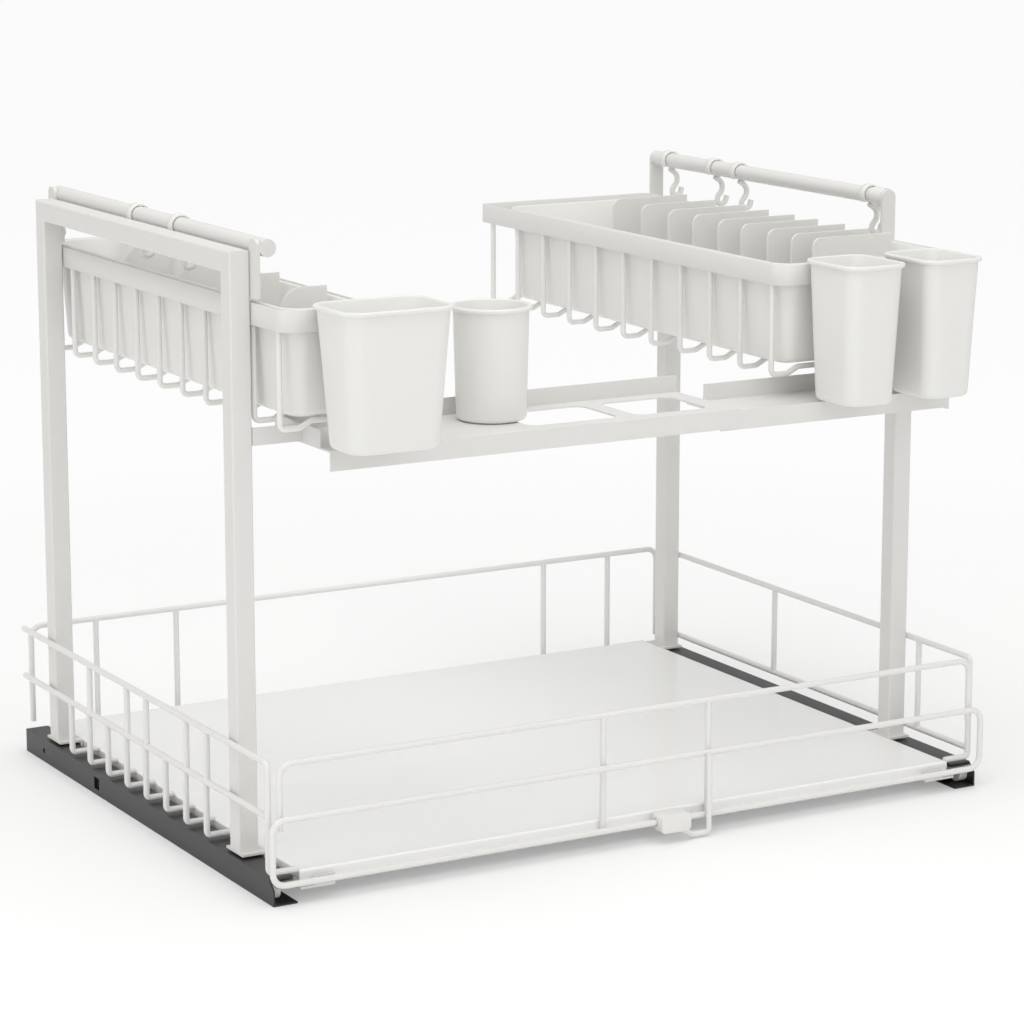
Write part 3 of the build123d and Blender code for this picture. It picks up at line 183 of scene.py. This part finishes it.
def rounded_path(points, bend, steps=6):
    """The path with each corner replaced by an arc that touches both runs."""
    route = [points[0]]
    for before, corner, after in zip(points, points[1:], points[2:]):
        back = unit([b - c for b, c in zip(before, corner)])
        ahead = unit([a - c for a, c in zip(after, corner)])
        cos_angle = max(-1.0, min(1.0, sum(b * a for b, a in zip(back, ahead))))
        half = math.acos(cos_angle) / 2
        reach = bend / math.tan(half)
        middle = unit([b + a for b, a in zip(back, ahead)])
        centre = [c + m * bend / math.sin(half) for c, m in zip(corner, middle)]
        start = [c + b * reach - o for c, b, o in zip(corner, back, centre)]
        turn = math.pi - half * 2
        side = unit(start)
        across = [-b for b in back]
        for i in range(steps + 1):
            t = turn * i / steps
            route.append(tuple(o + bend * (math.cos(t) * s + math.sin(t) * k)
                               for o, s, k in zip(centre, side, across)))
    route.append(points[-1])
    return route


def spline_points(points, steps=6):
    """Points along a smooth line through the given ones."""
    route = []
    padded = [points[0]] + list(points) + [points[-1]]
    for a, b, c, d in zip(padded, padded[1:], padded[2:], padded[3:]):
        for i in range(steps):
            t = i / steps
            route.append(tuple(0.5 * (2 * q + (r - p) * t + (2 * p - 5 * q + 4 * r - s) * t * t
                                      + (3 * q - p - 3 * r + s) * t ** 3)
                               for p, q, r, s in zip(a, b, c, d)))
    route.append(points[-1])
    return route


def rounded_ring(cx, cy, width, length, corners, z, steps=8):
    """Rounded rectangle as points, the same number for any size, round from the back right corner."""
    points = []
    turns = ((1, 1), (-1, 1), (-1, -1), (1, -1))
    most = min(width, length) / 2 - CORNER_MARGIN
    for i, ((sx, sy), corner) in enumerate(zip(turns, corners)):
        corner = max(min(corner, most), CORNER_LEAST)
        ox = cx + sx * (width / 2 - corner)
        oy = cy + sy * (length / 2 - corner)
        for k in range(steps + 1):
            a = QUARTER * (i + k / steps)
            points.append((ox + corner * math.cos(a), oy + corner * math.sin(a), z))
    return points


def loft(rings, loop=False):
    """Skin over rings with the same number of points, closed into a loop or by a face at each end."""
    count = len(rings[0])
    verts = [p for ring in rings for p in ring]
    faces = []
    pairs = list(zip(range(len(rings) - 1), range(1, len(rings))))
    if loop:
        pairs.append((len(rings) - 1, 0))
    for a, b in pairs:
        for i in range(count):
            j = (i + 1) % count
            faces.append((a * count + i, a * count + j, b * count + j, b * count + i))
    if not loop:
        last = (len(rings) - 1) * count
        faces.append(tuple(reversed(range(count))))
        faces.append(tuple(range(last, last + count)))
    return verts, faces


def add_piece(name, data, material, body, nodes):
    """New piece that moves with its body, in place of the given nodes."""
    data.materials.append(material)
    obj = bpy.data.objects.new(name, data)
    bpy.context.scene.collection.objects.link(obj)
    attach(obj, body)
    if nodes:
        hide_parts(*nodes)
    return obj


def tubes(name, paths, radius, material, body, nodes=()):
    """Round wires along the paths, in one object."""
    curve = bpy.data.curves.new(name, "CURVE")
    curve.dimensions = "3D"
    curve.bevel_depth = radius * MM
    curve.bevel_resolution = 4
    curve.use_fill_caps = True
    for path in paths:
        closed = path[0] == path[-1]
        points = metres(path[:-1] if closed else path)
        spline = curve.splines.new("POLY")
        spline.points.add(len(points) - 1)
        for target, point in zip(spline.points, points):
            target.co = (*point, 1.0)
        spline.use_cyclic_u = closed
        spline.use_smooth = True
    add_piece(name, curve, material, body, nodes)


def mesh_piece(name, verts, faces, material, body, nodes=(), sharp=60.0):
    """Smooth skin whose edges stay sharp beyond the given angle."""
    mesh = bpy.data.meshes.new(name)
    mesh.from_pydata(metres(verts), [], faces)
    mesh.validate()
    for polygon in mesh.polygons:
        polygon.use_smooth = True
    mesh.set_sharp_from_angle(angle=math.radians(sharp))
    return add_piece(name, mesh, material, body, nodes)


def soften(obj, width, angle):
    """Bevels the edges that are sharper than the angle."""
    bevel = obj.modifiers.new("soft_edge", "BEVEL")
    bevel.width = width * MM
    bevel.segments = 2
    bevel.limit_method = "ANGLE"
    bevel.angle_limit = math.radians(angle)
    bevel.harden_normals = False


def set_inputs(node, values):
    for socket, value in values.items():
        node.inputs[socket].default_value = value


# Materials


def material(name, color, rough, bump, bump_scale, spread, metallic=0.0, coat=0.0, specular=0.5,
             subsurface=0.0):
    """Principled surface with a fine bump and a slow change of roughness and tone."""
    mat = bpy.data.materials.new(name)
    mat.use_nodes = True
    nodes, links = mat.node_tree.nodes, mat.node_tree.links
    shader = nodes["Principled BSDF"]
    set_inputs(shader, {"Metallic": metallic, "Coat Weight": coat, "Coat Roughness": 0.08,
                        "Specular IOR Level": specular})
    if subsurface:
        set_inputs(shader, {"Subsurface Weight": subsurface, "Subsurface Scale": 1.0,
                            "Subsurface Radius": (0.004, 0.0036, 0.003)})
    place = nodes.new("ShaderNodeTexCoord")
    slow = nodes.new("ShaderNodeTexNoise")
    set_inputs(slow, {"Scale": 14.0, "Detail": 3.0})
    links.new(place.outputs["Object"], slow.inputs["Vector"])
    tone = nodes.new("ShaderNodeMix")
    tone.data_type = "RGBA"
    set_inputs(tone, {"A": (*[c * (1 - spread) for c in color], 1),
                      "B": (*[min(c * (1 + spread), 1.0) for c in color], 1)})
    links.new(slow.outputs["Fac"], tone.inputs["Factor"])
    links.new(tone.outputs["Result"], shader.inputs["Base Color"])
    haze = nodes.new("ShaderNodeMapRange")
    set_inputs(haze, {"To Min": rough * 0.9, "To Max": min(rough * 1.12, 1.0)})
    links.new(slow.outputs["Fac"], haze.inputs["Value"])
    links.new(haze.outputs["Result"], shader.inputs["Roughness"])
    fine = nodes.new("ShaderNodeTexNoise")
    set_inputs(fine, {"Scale": bump_scale, "Detail": 2.0})
    links.new(place.outputs["Object"], fine.inputs["Vector"])
    relief = nodes.new("ShaderNodeBump")
    set_inputs(relief, {"Strength": bump, "Distance": 0.0002})
    links.new(fine.outputs["Fac"], relief.inputs["Height"])
    links.new(relief.outputs["Normal"], shader.inputs["Normal"])
    return mat


coat = material("powder_coat", (0.74, 0.73, 0.71), 0.38, bump=0.12, bump_scale=700.0, spread=0.012)
wire_coat = material("wire_coat", (0.80, 0.79, 0.77), 0.32, bump=0.08, bump_scale=900.0, spread=0.01)
panel_gloss = material("panel_gloss", (0.97, 0.97, 0.96), 0.07, bump=0.01, bump_scale=260.0,
                       spread=0.006, coat=0.6, specular=0.8)
plastic = material("white_plastic", (0.80, 0.795, 0.77), 0.30, bump=0.05, bump_scale=1500.0,
                   spread=0.008, subsurface=0.12)
inner_plastic = material("divider_plastic", (0.79, 0.785, 0.76), 0.34, bump=0.05, bump_scale=1500.0,
                         spread=0.008, subsurface=0.10)
rail_black = material("rail_paint", (0.018, 0.018, 0.020), 0.34, bump=0.10, bump_scale=800.0,
                      spread=0.10)
zinc = material("zinc", (0.60, 0.60, 0.61), 0.32, bump=0.12, bump_scale=300.0, spread=0.05,
                metallic=1.0)
screw_steel = material("screw_steel", (0.66, 0.66, 0.65), 0.28, bump=0.05, bump_scale=600.0,
                       spread=0.03, metallic=1.0)
black_plastic = material("black_plastic", (0.03, 0.03, 0.03), 0.45, bump=0.08, bump_scale=1000.0,
                         spread=0.05)
roller_plastic = material("roller_plastic", (0.74, 0.73, 0.70), 0.4, bump=0.05, bump_scale=900.0,
                          spread=0.02)

# Materials of the CAD nodes, by the start of a node's name. The other nodes are powder coated.
NODE_MATERIALS = {
    "floor_panel": panel_gloss, "slide_rail": rail_black, "rail_bumper": black_plastic,
    "runner": zinc, "axle": zinc, "roller": roller_plastic, "dividers": inner_plastic,
    "rod_collar": plastic, "pull_tab": plastic, "screw_heads": screw_steel, "cup": plastic,
    "bin": plastic, "hook_left_": plastic, "hook_right_": plastic}
for name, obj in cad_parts.items():
    chosen = coat
    for start, mat in NODE_MATERIALS.items():
        if name.startswith(start):
            chosen = mat
    obj.data.materials.clear()
    obj.data.materials.append(chosen)

# Widths of the soft edges of folded and cut sheet, on nodes of both sides and on single ones
NODE_SOFT_ANGLE = 40.0
PAIRED_EDGES = {"gate": 0.5, "shelf": 0.5, "gate_feet": 0.6, "slide_rail": 0.35, "runner": 0.4,
                "hook_arms": 0.5, "shelf_bracket": 0.4, "dividers": 0.5, "front_bracket": 0.4,
                "hook_rod": 0.6}
SINGLE_EDGES = {"screw_heads": 0.5, "rod_collar": 0.4}
for start, width in PAIRED_EDGES.items():
    for side in ("left", "right"):
        soften(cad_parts[start + "_" + side], width, NODE_SOFT_ANGLE)
for name, width in SINGLE_EDGES.items():
    soften(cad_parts[name], width, NODE_SOFT_ANGLE)


# Fences


def fence(name, paths, node):
    tubes(name, paths, FENCE_WIRE, wire_coat, "drawer", [node])


def front_fences():
    low, high = LEFT_X - LOOP_SIDE, RIGHT_X + LOOP_SIDE
    y = FENCE_FRONT
    middle = (low + high) / 2
    loop = [(middle, y, FENCE_LOW), (high, y, FENCE_LOW), (high, y, FENCE_MID), (low, y, FENCE_MID),
            (low, y, FENCE_LOW), (middle, y, FENCE_LOW)]
    fence("front_loop_lower", [rounded_path(loop, FENCE_CORNER)], "front_fence_lower")
    y = FENCE_FRONT + FENCE_REACH * 2
    low, high = low + UPPER_INSET, high - UPPER_INSET
    end = FENCE_MID - FENCE_CORNER
    upper = [(low, y, end), (low, y, FENCE_TOP), (high, y, FENCE_TOP), (high, y, end)]
    paths = [rounded_path(upper, FENCE_CORNER)]
    for d in FRONT_UPRIGHTS:
        paths.append([(LEFT_X + d, y, FENCE_LOW - FENCE_WIRE), (LEFT_X + d, y, FENCE_TOP)])
    fence("front_loop_upper", paths, "front_fence_upper")


def side_top_wire(gate_x, inward):
    """Places of a side fence, and its top wire's path, down in front and in to the panel's lip."""
    x = gate_x - inward * (HALF_TUBE + FENCE_REACH)
    front, back = FENCE_FRONT + CORNER_SETBACK, FENCE_BACK - FENCE_REACH - SEAT_GAP
    end = -inward * PANEL_EDGE
    path = rounded_path([(x, back, FENCE_TOP), (x, front, FENCE_TOP), (x, front, SIDE_HOOK_LOW),
                         (end, front, SIDE_HOOK_LOW)], SIDE_HOOK_BEND)
    return x, front, back, end, path


def left_fence():
    x, front, back, end, top = side_top_wire(LEFT_X, 1.0)
    posts = [[(x, POST_FRONT + d, FENCE_MID), (x, POST_FRONT + d, FENCE_TOP)] for d in TALL_POSTS]
    fence("left_fence_posts", [top] + posts, "left_fence_upper")
    paths = [[(x, front, FENCE_MID), (x, back, FENCE_MID)]]
    for i in range(BENT_COUNT):
        y = POST_FRONT + BENT_FIRST + i * BENT_PITCH
        paths.append(rounded_path([(x, y, FENCE_MID), (x, y, SIDE_HOOK_LOW), (end, y, SIDE_HOOK_LOW)],
                                  SIDE_HOOK_BEND))
    fence("left_fence_hooks", paths, "left_fence_lower")


def right_fence():
    x, front, back, end, top = side_top_wire(RIGHT_X, -1.0)
    low = SIDE_HOOK_LOW + RIGHT_FENCE_RISE
    paths = [top, [(x, front, low), (x, back, low)]]
    for d in RIGHT_UPRIGHTS:
        paths.append([(x, RIGHT_POST_FRONT + d, low), (x, RIGHT_POST_FRONT + d, FENCE_TOP)])
    fence("right_fence_wires", paths, "right_fence")


def back_fence():
    low, high = LEFT_X - BACK_LEFT_OUT, RIGHT_X + BACK_RIGHT_OUT
    y = FENCE_BACK
    inner = y - FENCE_REACH * 3 - PANEL_END_GAP - PANEL_SHEET * 2
    under = PANEL_FOOT - SEAT_GAP - FENCE_REACH
    outline = [(low, y, BACK_LOW), (low, y, FENCE_TOP), (high, y, FENCE_TOP), (high, y, BACK_LOW)]
    paths = [rounded_path(outline, FENCE_CORNER)]
    for share in BACK_UPRIGHT_SHARES:
        x = low + (high - low) * share
        paths.append(rounded_path([(x, y, FENCE_TOP), (x, y, under), (x, inner, under)],
                                  SIDE_HOOK_BEND))
    paths.append([(low, y, under + SIDE_HOOK_BEND), (high, y, under + SIDE_HOOK_BEND)])
    fence("back_fence_wires", paths, "back_fence")


front_fences()
left_fence()
right_fence()
back_fence()


# Baskets: thin rim strip and round wires


def rim_ring(spot, inset, z):
    corners = [max(corner - inset, RIM_CORNER_LEAST) for corner in RIM_CORNERS]
    return rounded_ring(spot.low_x + spot.width / 2, spot.front + spot.length / 2,
                        spot.width - inset * 2, spot.length - inset * 2, corners,
                        RIM_TOP - RIM_HEIGHT + z)


def basket(side, spot):
    section = ((RIM_SOFT, 0), (0, RIM_SOFT), (0, RIM_HEIGHT - RIM_SOFT), (RIM_SOFT, RIM_HEIGHT),
               (RIM_SHEET - RIM_SOFT, RIM_HEIGHT), (RIM_SHEET, RIM_HEIGHT - RIM_SOFT),
               (RIM_SHEET, RIM_SOFT), (RIM_SHEET - RIM_SOFT, 0))
    verts, faces = loft([rim_ring(spot, inset, z) for inset, z in section], loop=True)
    mesh_piece("basket_rim_" + side, verts, faces, coat, "drawer", ["basket_" + side], sharp=50.0)
    near = spot.low_x + RIM_SHEET + BASKET_WIRE - WELD_SINK
    far = spot.low_x + spot.width - RIM_SHEET - BASKET_WIRE + WELD_SINK
    top, low = RIM_TOP - BASKET_WIRE_TOP_GAP, BASKET_WIRE_LOW
    high = low + BASKET_WIRE_RISE
    run, step = BASKET_LOW_RUN, BASKET_STEP_END
    first, wired = spot.front + BASKET_END_MARGIN, spot.length - BASKET_END_MARGIN * 2
    paths = []
    for i in range(BASKET_WIRE_COUNT):
        y = first + i * wired / (BASKET_WIRE_COUNT - 1)
        wire = [(near, y, top), (near, y, low), (near + run, y, low), (near + step, y, high),
                (far - step, y, high), (far - run, y, low), (far, y, low), (far, y, top)]
        paths.append(rounded_path(wire, BASKET_WIRE_BEND, BASKET_BEND_STEPS))
    tubes("basket_wires_" + side, paths, BASKET_WIRE, wire_coat, "drawer")


for side, spot in BASKETS.items():
    basket(side, spot)


# Bins and cups: moulded tubs with a rolled lip and a filleted floor


def tub(name, body, place, size, height, corners, taper, wall, lip, floor_round):
    """Tub from the middle of its underside, round its lip, to the middle of its inner floor.

    place is the middle of the underside, and size the mouth's width and length without the lip.
    corners are those of the mouth and the floor, and lip is its reach outward and its height.
    """
    cx, cy, base = place
    width, length = size
    corner, floor_corner = corners
    lip_out, lip_height = lip
    rings = []

    def ring(inset, z):
        share = max(0.0, min(1.0, z / height))
        draw = taper * (1 - share)
        r = floor_corner + (corner - floor_corner) * share - inset
        rings.append(rounded_ring(cx, cy, width - (inset + draw) * 2, length - (inset + draw) * 2,
                                  [r] * 4, base + z))

    ring(floor_round * FLOOR_FLAT_SHARE, 0.0)
    for s, c in quarter_turn(ROUND_STEPS):
        ring(floor_round * s, floor_round * c)
    under = height - lip_height
    ring(0.0, under - LIP_BREAK)
    ring(0.0, under)
    soft = min(lip_height / 2, lip_out / 2)
    for s, c in quarter_turn(ROUND_STEPS):
        ring(-lip_out + soft * s, under + soft * c)
    for s, c in quarter_turn(ROUND_STEPS):
        ring(-lip_out + soft * c, height - soft * s)
    ring(wall - MOUTH_EASE, height)
    ring(wall, height - MOUTH_EASE)
    inner = floor_round * INNER_ROUND_SHARE
    for s, c in quarter_turn(INNER_ROUND_STEPS):
        ring(wall + inner * c, wall + inner * s)
    ring(wall + inner * FLOOR_FLAT_SHARE, wall)
    verts, faces = loft(rings)
    mesh_piece(name, verts, faces, plastic, body, [body])


def hanging_cup(name, cup):
    """Tub with a tab that hangs over the basket's front rim."""
    mid_y = cup.front - CUP_HANG_GAP - cup.depth / 2
    tub(name + "_tub", name, (cup.mid_x, mid_y, CUP_TOP - cup.height),
        (cup.width - CUP_RIM * 2, cup.depth - CUP_RIM * 2), cup.height, (cup.corner, cup.corner),
        cup.taper, CUP_WALL, CUP_LIP, CUP_FLOOR_ROUND)
    back = mid_y + cup.depth / 2
    over = back + CUP_HANG_GAP * 2 + RIM_SHEET
    seat = RIM_TOP + SEAT_GAP
    outline = [(back - CUP_RIM, seat), (over, seat), (over, seat - TAB_DROP),
               (over + TAB_SHEET, seat - TAB_DROP), (over + TAB_SHEET, seat + TAB_SHEET),
               (back - CUP_RIM, seat + TAB_SHEET)]
    across = (-TAB_HALF, -TAB_HALF + TAB_SOFT_END, TAB_HALF - TAB_SOFT_END, TAB_HALF)
    rings = [[(cup.mid_x + cup.tab_x + x, y, z) for y, z in outline] for x in across]
    verts, faces = loft(rings)
    tab = mesh_piece(name + "_tab", verts, faces, plastic, name, sharp=TAB_SHARP_ANGLE)
    soften(tab, TAB_SOFT_EDGE, TAB_SHARP_ANGLE)


for side, spot in BASKETS.items():
    tub("bin_tub_" + side, "bin_" + side,
        (spot.low_x + spot.width / 2, spot.front + spot.bin_length / 2, BIN_FLOOR),
        (spot.width - BIN_INSET * 2, spot.bin_length - BIN_INSET * 2), RIM_TOP - BIN_FLOOR,
        BIN_CORNERS, BIN_TAPER, BIN_WALL, BIN_LIP, BIN_FLOOR_ROUND)
for name, cup in CUPS.items():
    hanging_cup(name, cup)
tub("cup_round_tub", "cup_round",
    (LEFT_X + ROUND_CUP_OFFSET, POST_FRONT + ROUND_CUP_BACK, SHELF_TOP + SEAT_GAP),
    (ROUND_CUP_RADIUS * 2, ROUND_CUP_RADIUS * 2), ROUND_CUP_HEIGHT,
    (ROUND_CUP_RADIUS, ROUND_CUP_RADIUS - ROUND_CUP_TAPER), ROUND_CUP_TAPER, CUP_WALL, CUP_LIP,
    ROUND_CUP_FLOOR_ROUND)


# Hooks and pull wire


def hook(name, x, y, z):
    """Open ring round the rod with an S-shaped stem below it."""
    inner = ROD_RADIUS + RING_GAP
    outer = inner + RING_SHEET
    half, soft = RING_HALF_WIDTH, RING_SOFT
    section = ((inner, -half + soft), (inner + soft, -half), (outer - soft, -half),
               (outer, -half + soft), (outer, half - soft), (outer - soft, half),
               (inner + soft, half), (inner, half - soft))
    rings = []
    for i in range(RING_STEPS + 1):
        a = RING_START + (RING_END - RING_START) * i / RING_STEPS
        rings.append([(x + r * math.cos(a), y + w, z + r * math.sin(a)) for r, w in section])
    verts, faces = loft(rings)
    mesh_piece(name + "_ring", verts, faces, plastic, name, [name], sharp=50.0)
    bottom = z - outer + RING_SHEET / 2
    stem = [(x + STEM_BOW * u, y, bottom - STEM_DROP * v) for u, v in STEM_BENDS]
    tubes(name + "_stem", [spline_points(stem)], STEM_WIRE, plastic, name)


for i, share in enumerate(RIGHT_HOOK_SHARES, 1):
    hook("hook_right_" + str(i), RIGHT_ROD_X, RIGHT_ROD_FRONT + RIGHT_ROD_LENGTH * (1 - share),
         RIGHT_ROD_HEIGHT)
for i, share in enumerate(LEFT_HOOK_SHARES, 1):
    hook("hook_left_" + str(i), LEFT_ROD_X, POST_BACK - (POST_BACK - POST_FRONT) * share,
         LEFT_ROD_HEIGHT)

pull_x, pull_y = LEFT_X + PULL_OFFSET, FENCE_FRONT - PULL_OUT
pull_path = rounded_path([(pull_x, pull_y, FENCE_MID), (pull_x, pull_y, PULL_LOW),
                          (pull_x - PULL_RUN, pull_y, PULL_LOW),
                          (pull_x - PULL_END, pull_y, PULL_LOW + PULL_END_RISE)], PULL_BEND)
fence("pull_wire_bent", [pull_path], "pull_wire")


# Room, light and camera, in metres

FLOOR_HALF_WIDTH, FLOOR_HALF_LENGTH, WALL_HEIGHT = 9.0, 6.0, 5.0
COVE_RADIUS, COVE_STEPS = 1.5, 12
FLOOR_DROP = 0.0002
SHADOW_NEAR, SHADOW_FAR = 0.35, 1.3  # from the middle, the range over which the glow grows
GLOW_NEAR, GLOW_FAR = 0.25, 0.90
ROOM_COLOR = (1.0, 0.995, 0.985, 1)
ROOM_STRENGTH, ROOM_SEEN_STRENGTH = 0.62, 0.95
Lamp = namedtuple("Lamp", "place target size power")
LAMPS = {"top": Lamp((-0.2, -0.4, 2.6), (0, 0, 0.2), (2.6, 2.6), 36),
         "front": Lamp((-0.4, -3.0, 1.3), (0, 0, 0.25), (2.4, 1.8), 13),
         "left": Lamp((-2.6, -0.4, 1.0), (0, 0, 0.25), (1.6, 1.6), 8)}
CAMERA_PLACE = (-1.2306, -2.1993, 0.7282)
CAMERA_DOWN, CAMERA_TURN = 11.862, 29.574  # degrees
CAMERA_LENS, CAMERA_SENSOR = 120.8, 36.0  # millimetres


def floor_material():
    """White floor that glows for the camera, less so near the object, where its shadow falls."""
    mat = bpy.data.materials.new("floor")
    mat.use_nodes = True
    nodes, links = mat.node_tree.nodes, mat.node_tree.links
    shader = nodes["Principled BSDF"]
    set_inputs(shader, {"Base Color": (0.95, 0.95, 0.95, 1), "Roughness": 0.6})
    glow = nodes.new("ShaderNodeEmission")
    set_inputs(glow, {"Color": (1, 1, 1, 1), "Strength": 1.0})
    ray = nodes.new("ShaderNodeLightPath")
    place = nodes.new("ShaderNodeNewGeometry")
    distance = nodes.new("ShaderNodeVectorMath")
    distance.operation = "LENGTH"
    links.new(place.outputs["Position"], distance.inputs[0])
    fade = nodes.new("ShaderNodeMapRange")
    set_inputs(fade, {"From Min": SHADOW_NEAR, "From Max": SHADOW_FAR, "To Min": GLOW_NEAR,
                      "To Max": GLOW_FAR})
    links.new(distance.outputs["Value"], fade.inputs["Value"])
    share = nodes.new("ShaderNodeMath")
    share.operation = "MULTIPLY"
    links.new(fade.outputs["Result"], share.inputs[1])
    links.new(ray.outputs["Is Camera Ray"], share.inputs[0])
    mix = nodes.new("ShaderNodeMixShader")
    links.new(share.outputs[0], mix.inputs[0])
    links.new(shader.outputs[0], mix.inputs[1])
    links.new(glow.outputs[0], mix.inputs[2])
    links.new(mix.outputs[0], nodes["Material Output"].inputs["Surface"])
    return mat


def stage_floor():
    """Floor that curves up into a wall behind the object."""
    profile = [(-FLOOR_HALF_LENGTH, 0.0)]
    for s, c in quarter_turn(COVE_STEPS):
        profile.append((FLOOR_HALF_LENGTH - COVE_RADIUS * s, COVE_RADIUS * c))
    profile.append((FLOOR_HALF_LENGTH, WALL_HEIGHT))
    verts = [(x, y, z) for y, z in profile for x in (-FLOOR_HALF_WIDTH, FLOOR_HALF_WIDTH)]
    faces = [(2 * i, 2 * i + 1, 2 * i + 3, 2 * i + 2) for i in range(len(profile) - 1)]
    mesh = bpy.data.meshes.new("floor")
    mesh.from_pydata(verts, [], faces)
    for polygon in mesh.polygons:
        polygon.use_smooth = True
    mesh.materials.append(floor_material())
    floor = bpy.data.objects.new("floor", mesh)
    floor.location = (0, 0, -FLOOR_DROP)
    bpy.context.scene.collection.objects.link(floor)


def aim(obj, target):
    dx, dy, dz = [t - p for t, p in zip(target, obj.location)]
    flat = math.hypot(dx, dy)
    obj.rotation_euler = (math.pi / 2 + math.atan2(dz, flat), 0, -math.atan2(dx, dy))


def area(name, lamp):
    light = bpy.data.lights.new(name, "AREA")
    light.shape = "RECTANGLE"
    light.size, light.size_y = lamp.size
    light.energy = lamp.power
    obj = bpy.data.objects.new(name, light)
    obj.location = lamp.place
    aim(obj, lamp.target)
    bpy.context.scene.collection.objects.link(obj)


def room():
    """Soft grey light from all round that the camera itself sees as white."""
    world = bpy.data.worlds.new("room")
    world.use_nodes = True
    nodes, links = world.node_tree.nodes, world.node_tree.links
    sky = nodes["Background"]
    set_inputs(sky, {"Color": ROOM_COLOR})
    ray = nodes.new("ShaderNodeLightPath")
    strength = nodes.new("ShaderNodeMapRange")
    set_inputs(strength, {"To Min": ROOM_STRENGTH, "To Max": ROOM_SEEN_STRENGTH})
    links.new(ray.outputs["Is Camera Ray"], strength.inputs["Value"])
    links.new(strength.outputs["Result"], sky.inputs["Strength"])
    bpy.context.scene.world = world


stage_floor()
for name, lamp in LAMPS.items():
    area(name, lamp)
room()

camera = bpy.data.cameras.new("camera")
camera.sensor_width = CAMERA_SENSOR
camera.lens = CAMERA_LENS
camera.clip_end = 50.0
view = bpy.data.objects.new("camera", camera)
view.location = CAMERA_PLACE
view.rotation_euler = (math.radians(90 - CAMERA_DOWN), 0, -math.radians(CAMERA_TURN))
bpy.context.scene.collection.objects.link(view)
bpy.context.scene.camera = view
bpy.context.scene.view_settings.view_transform = "Standard"
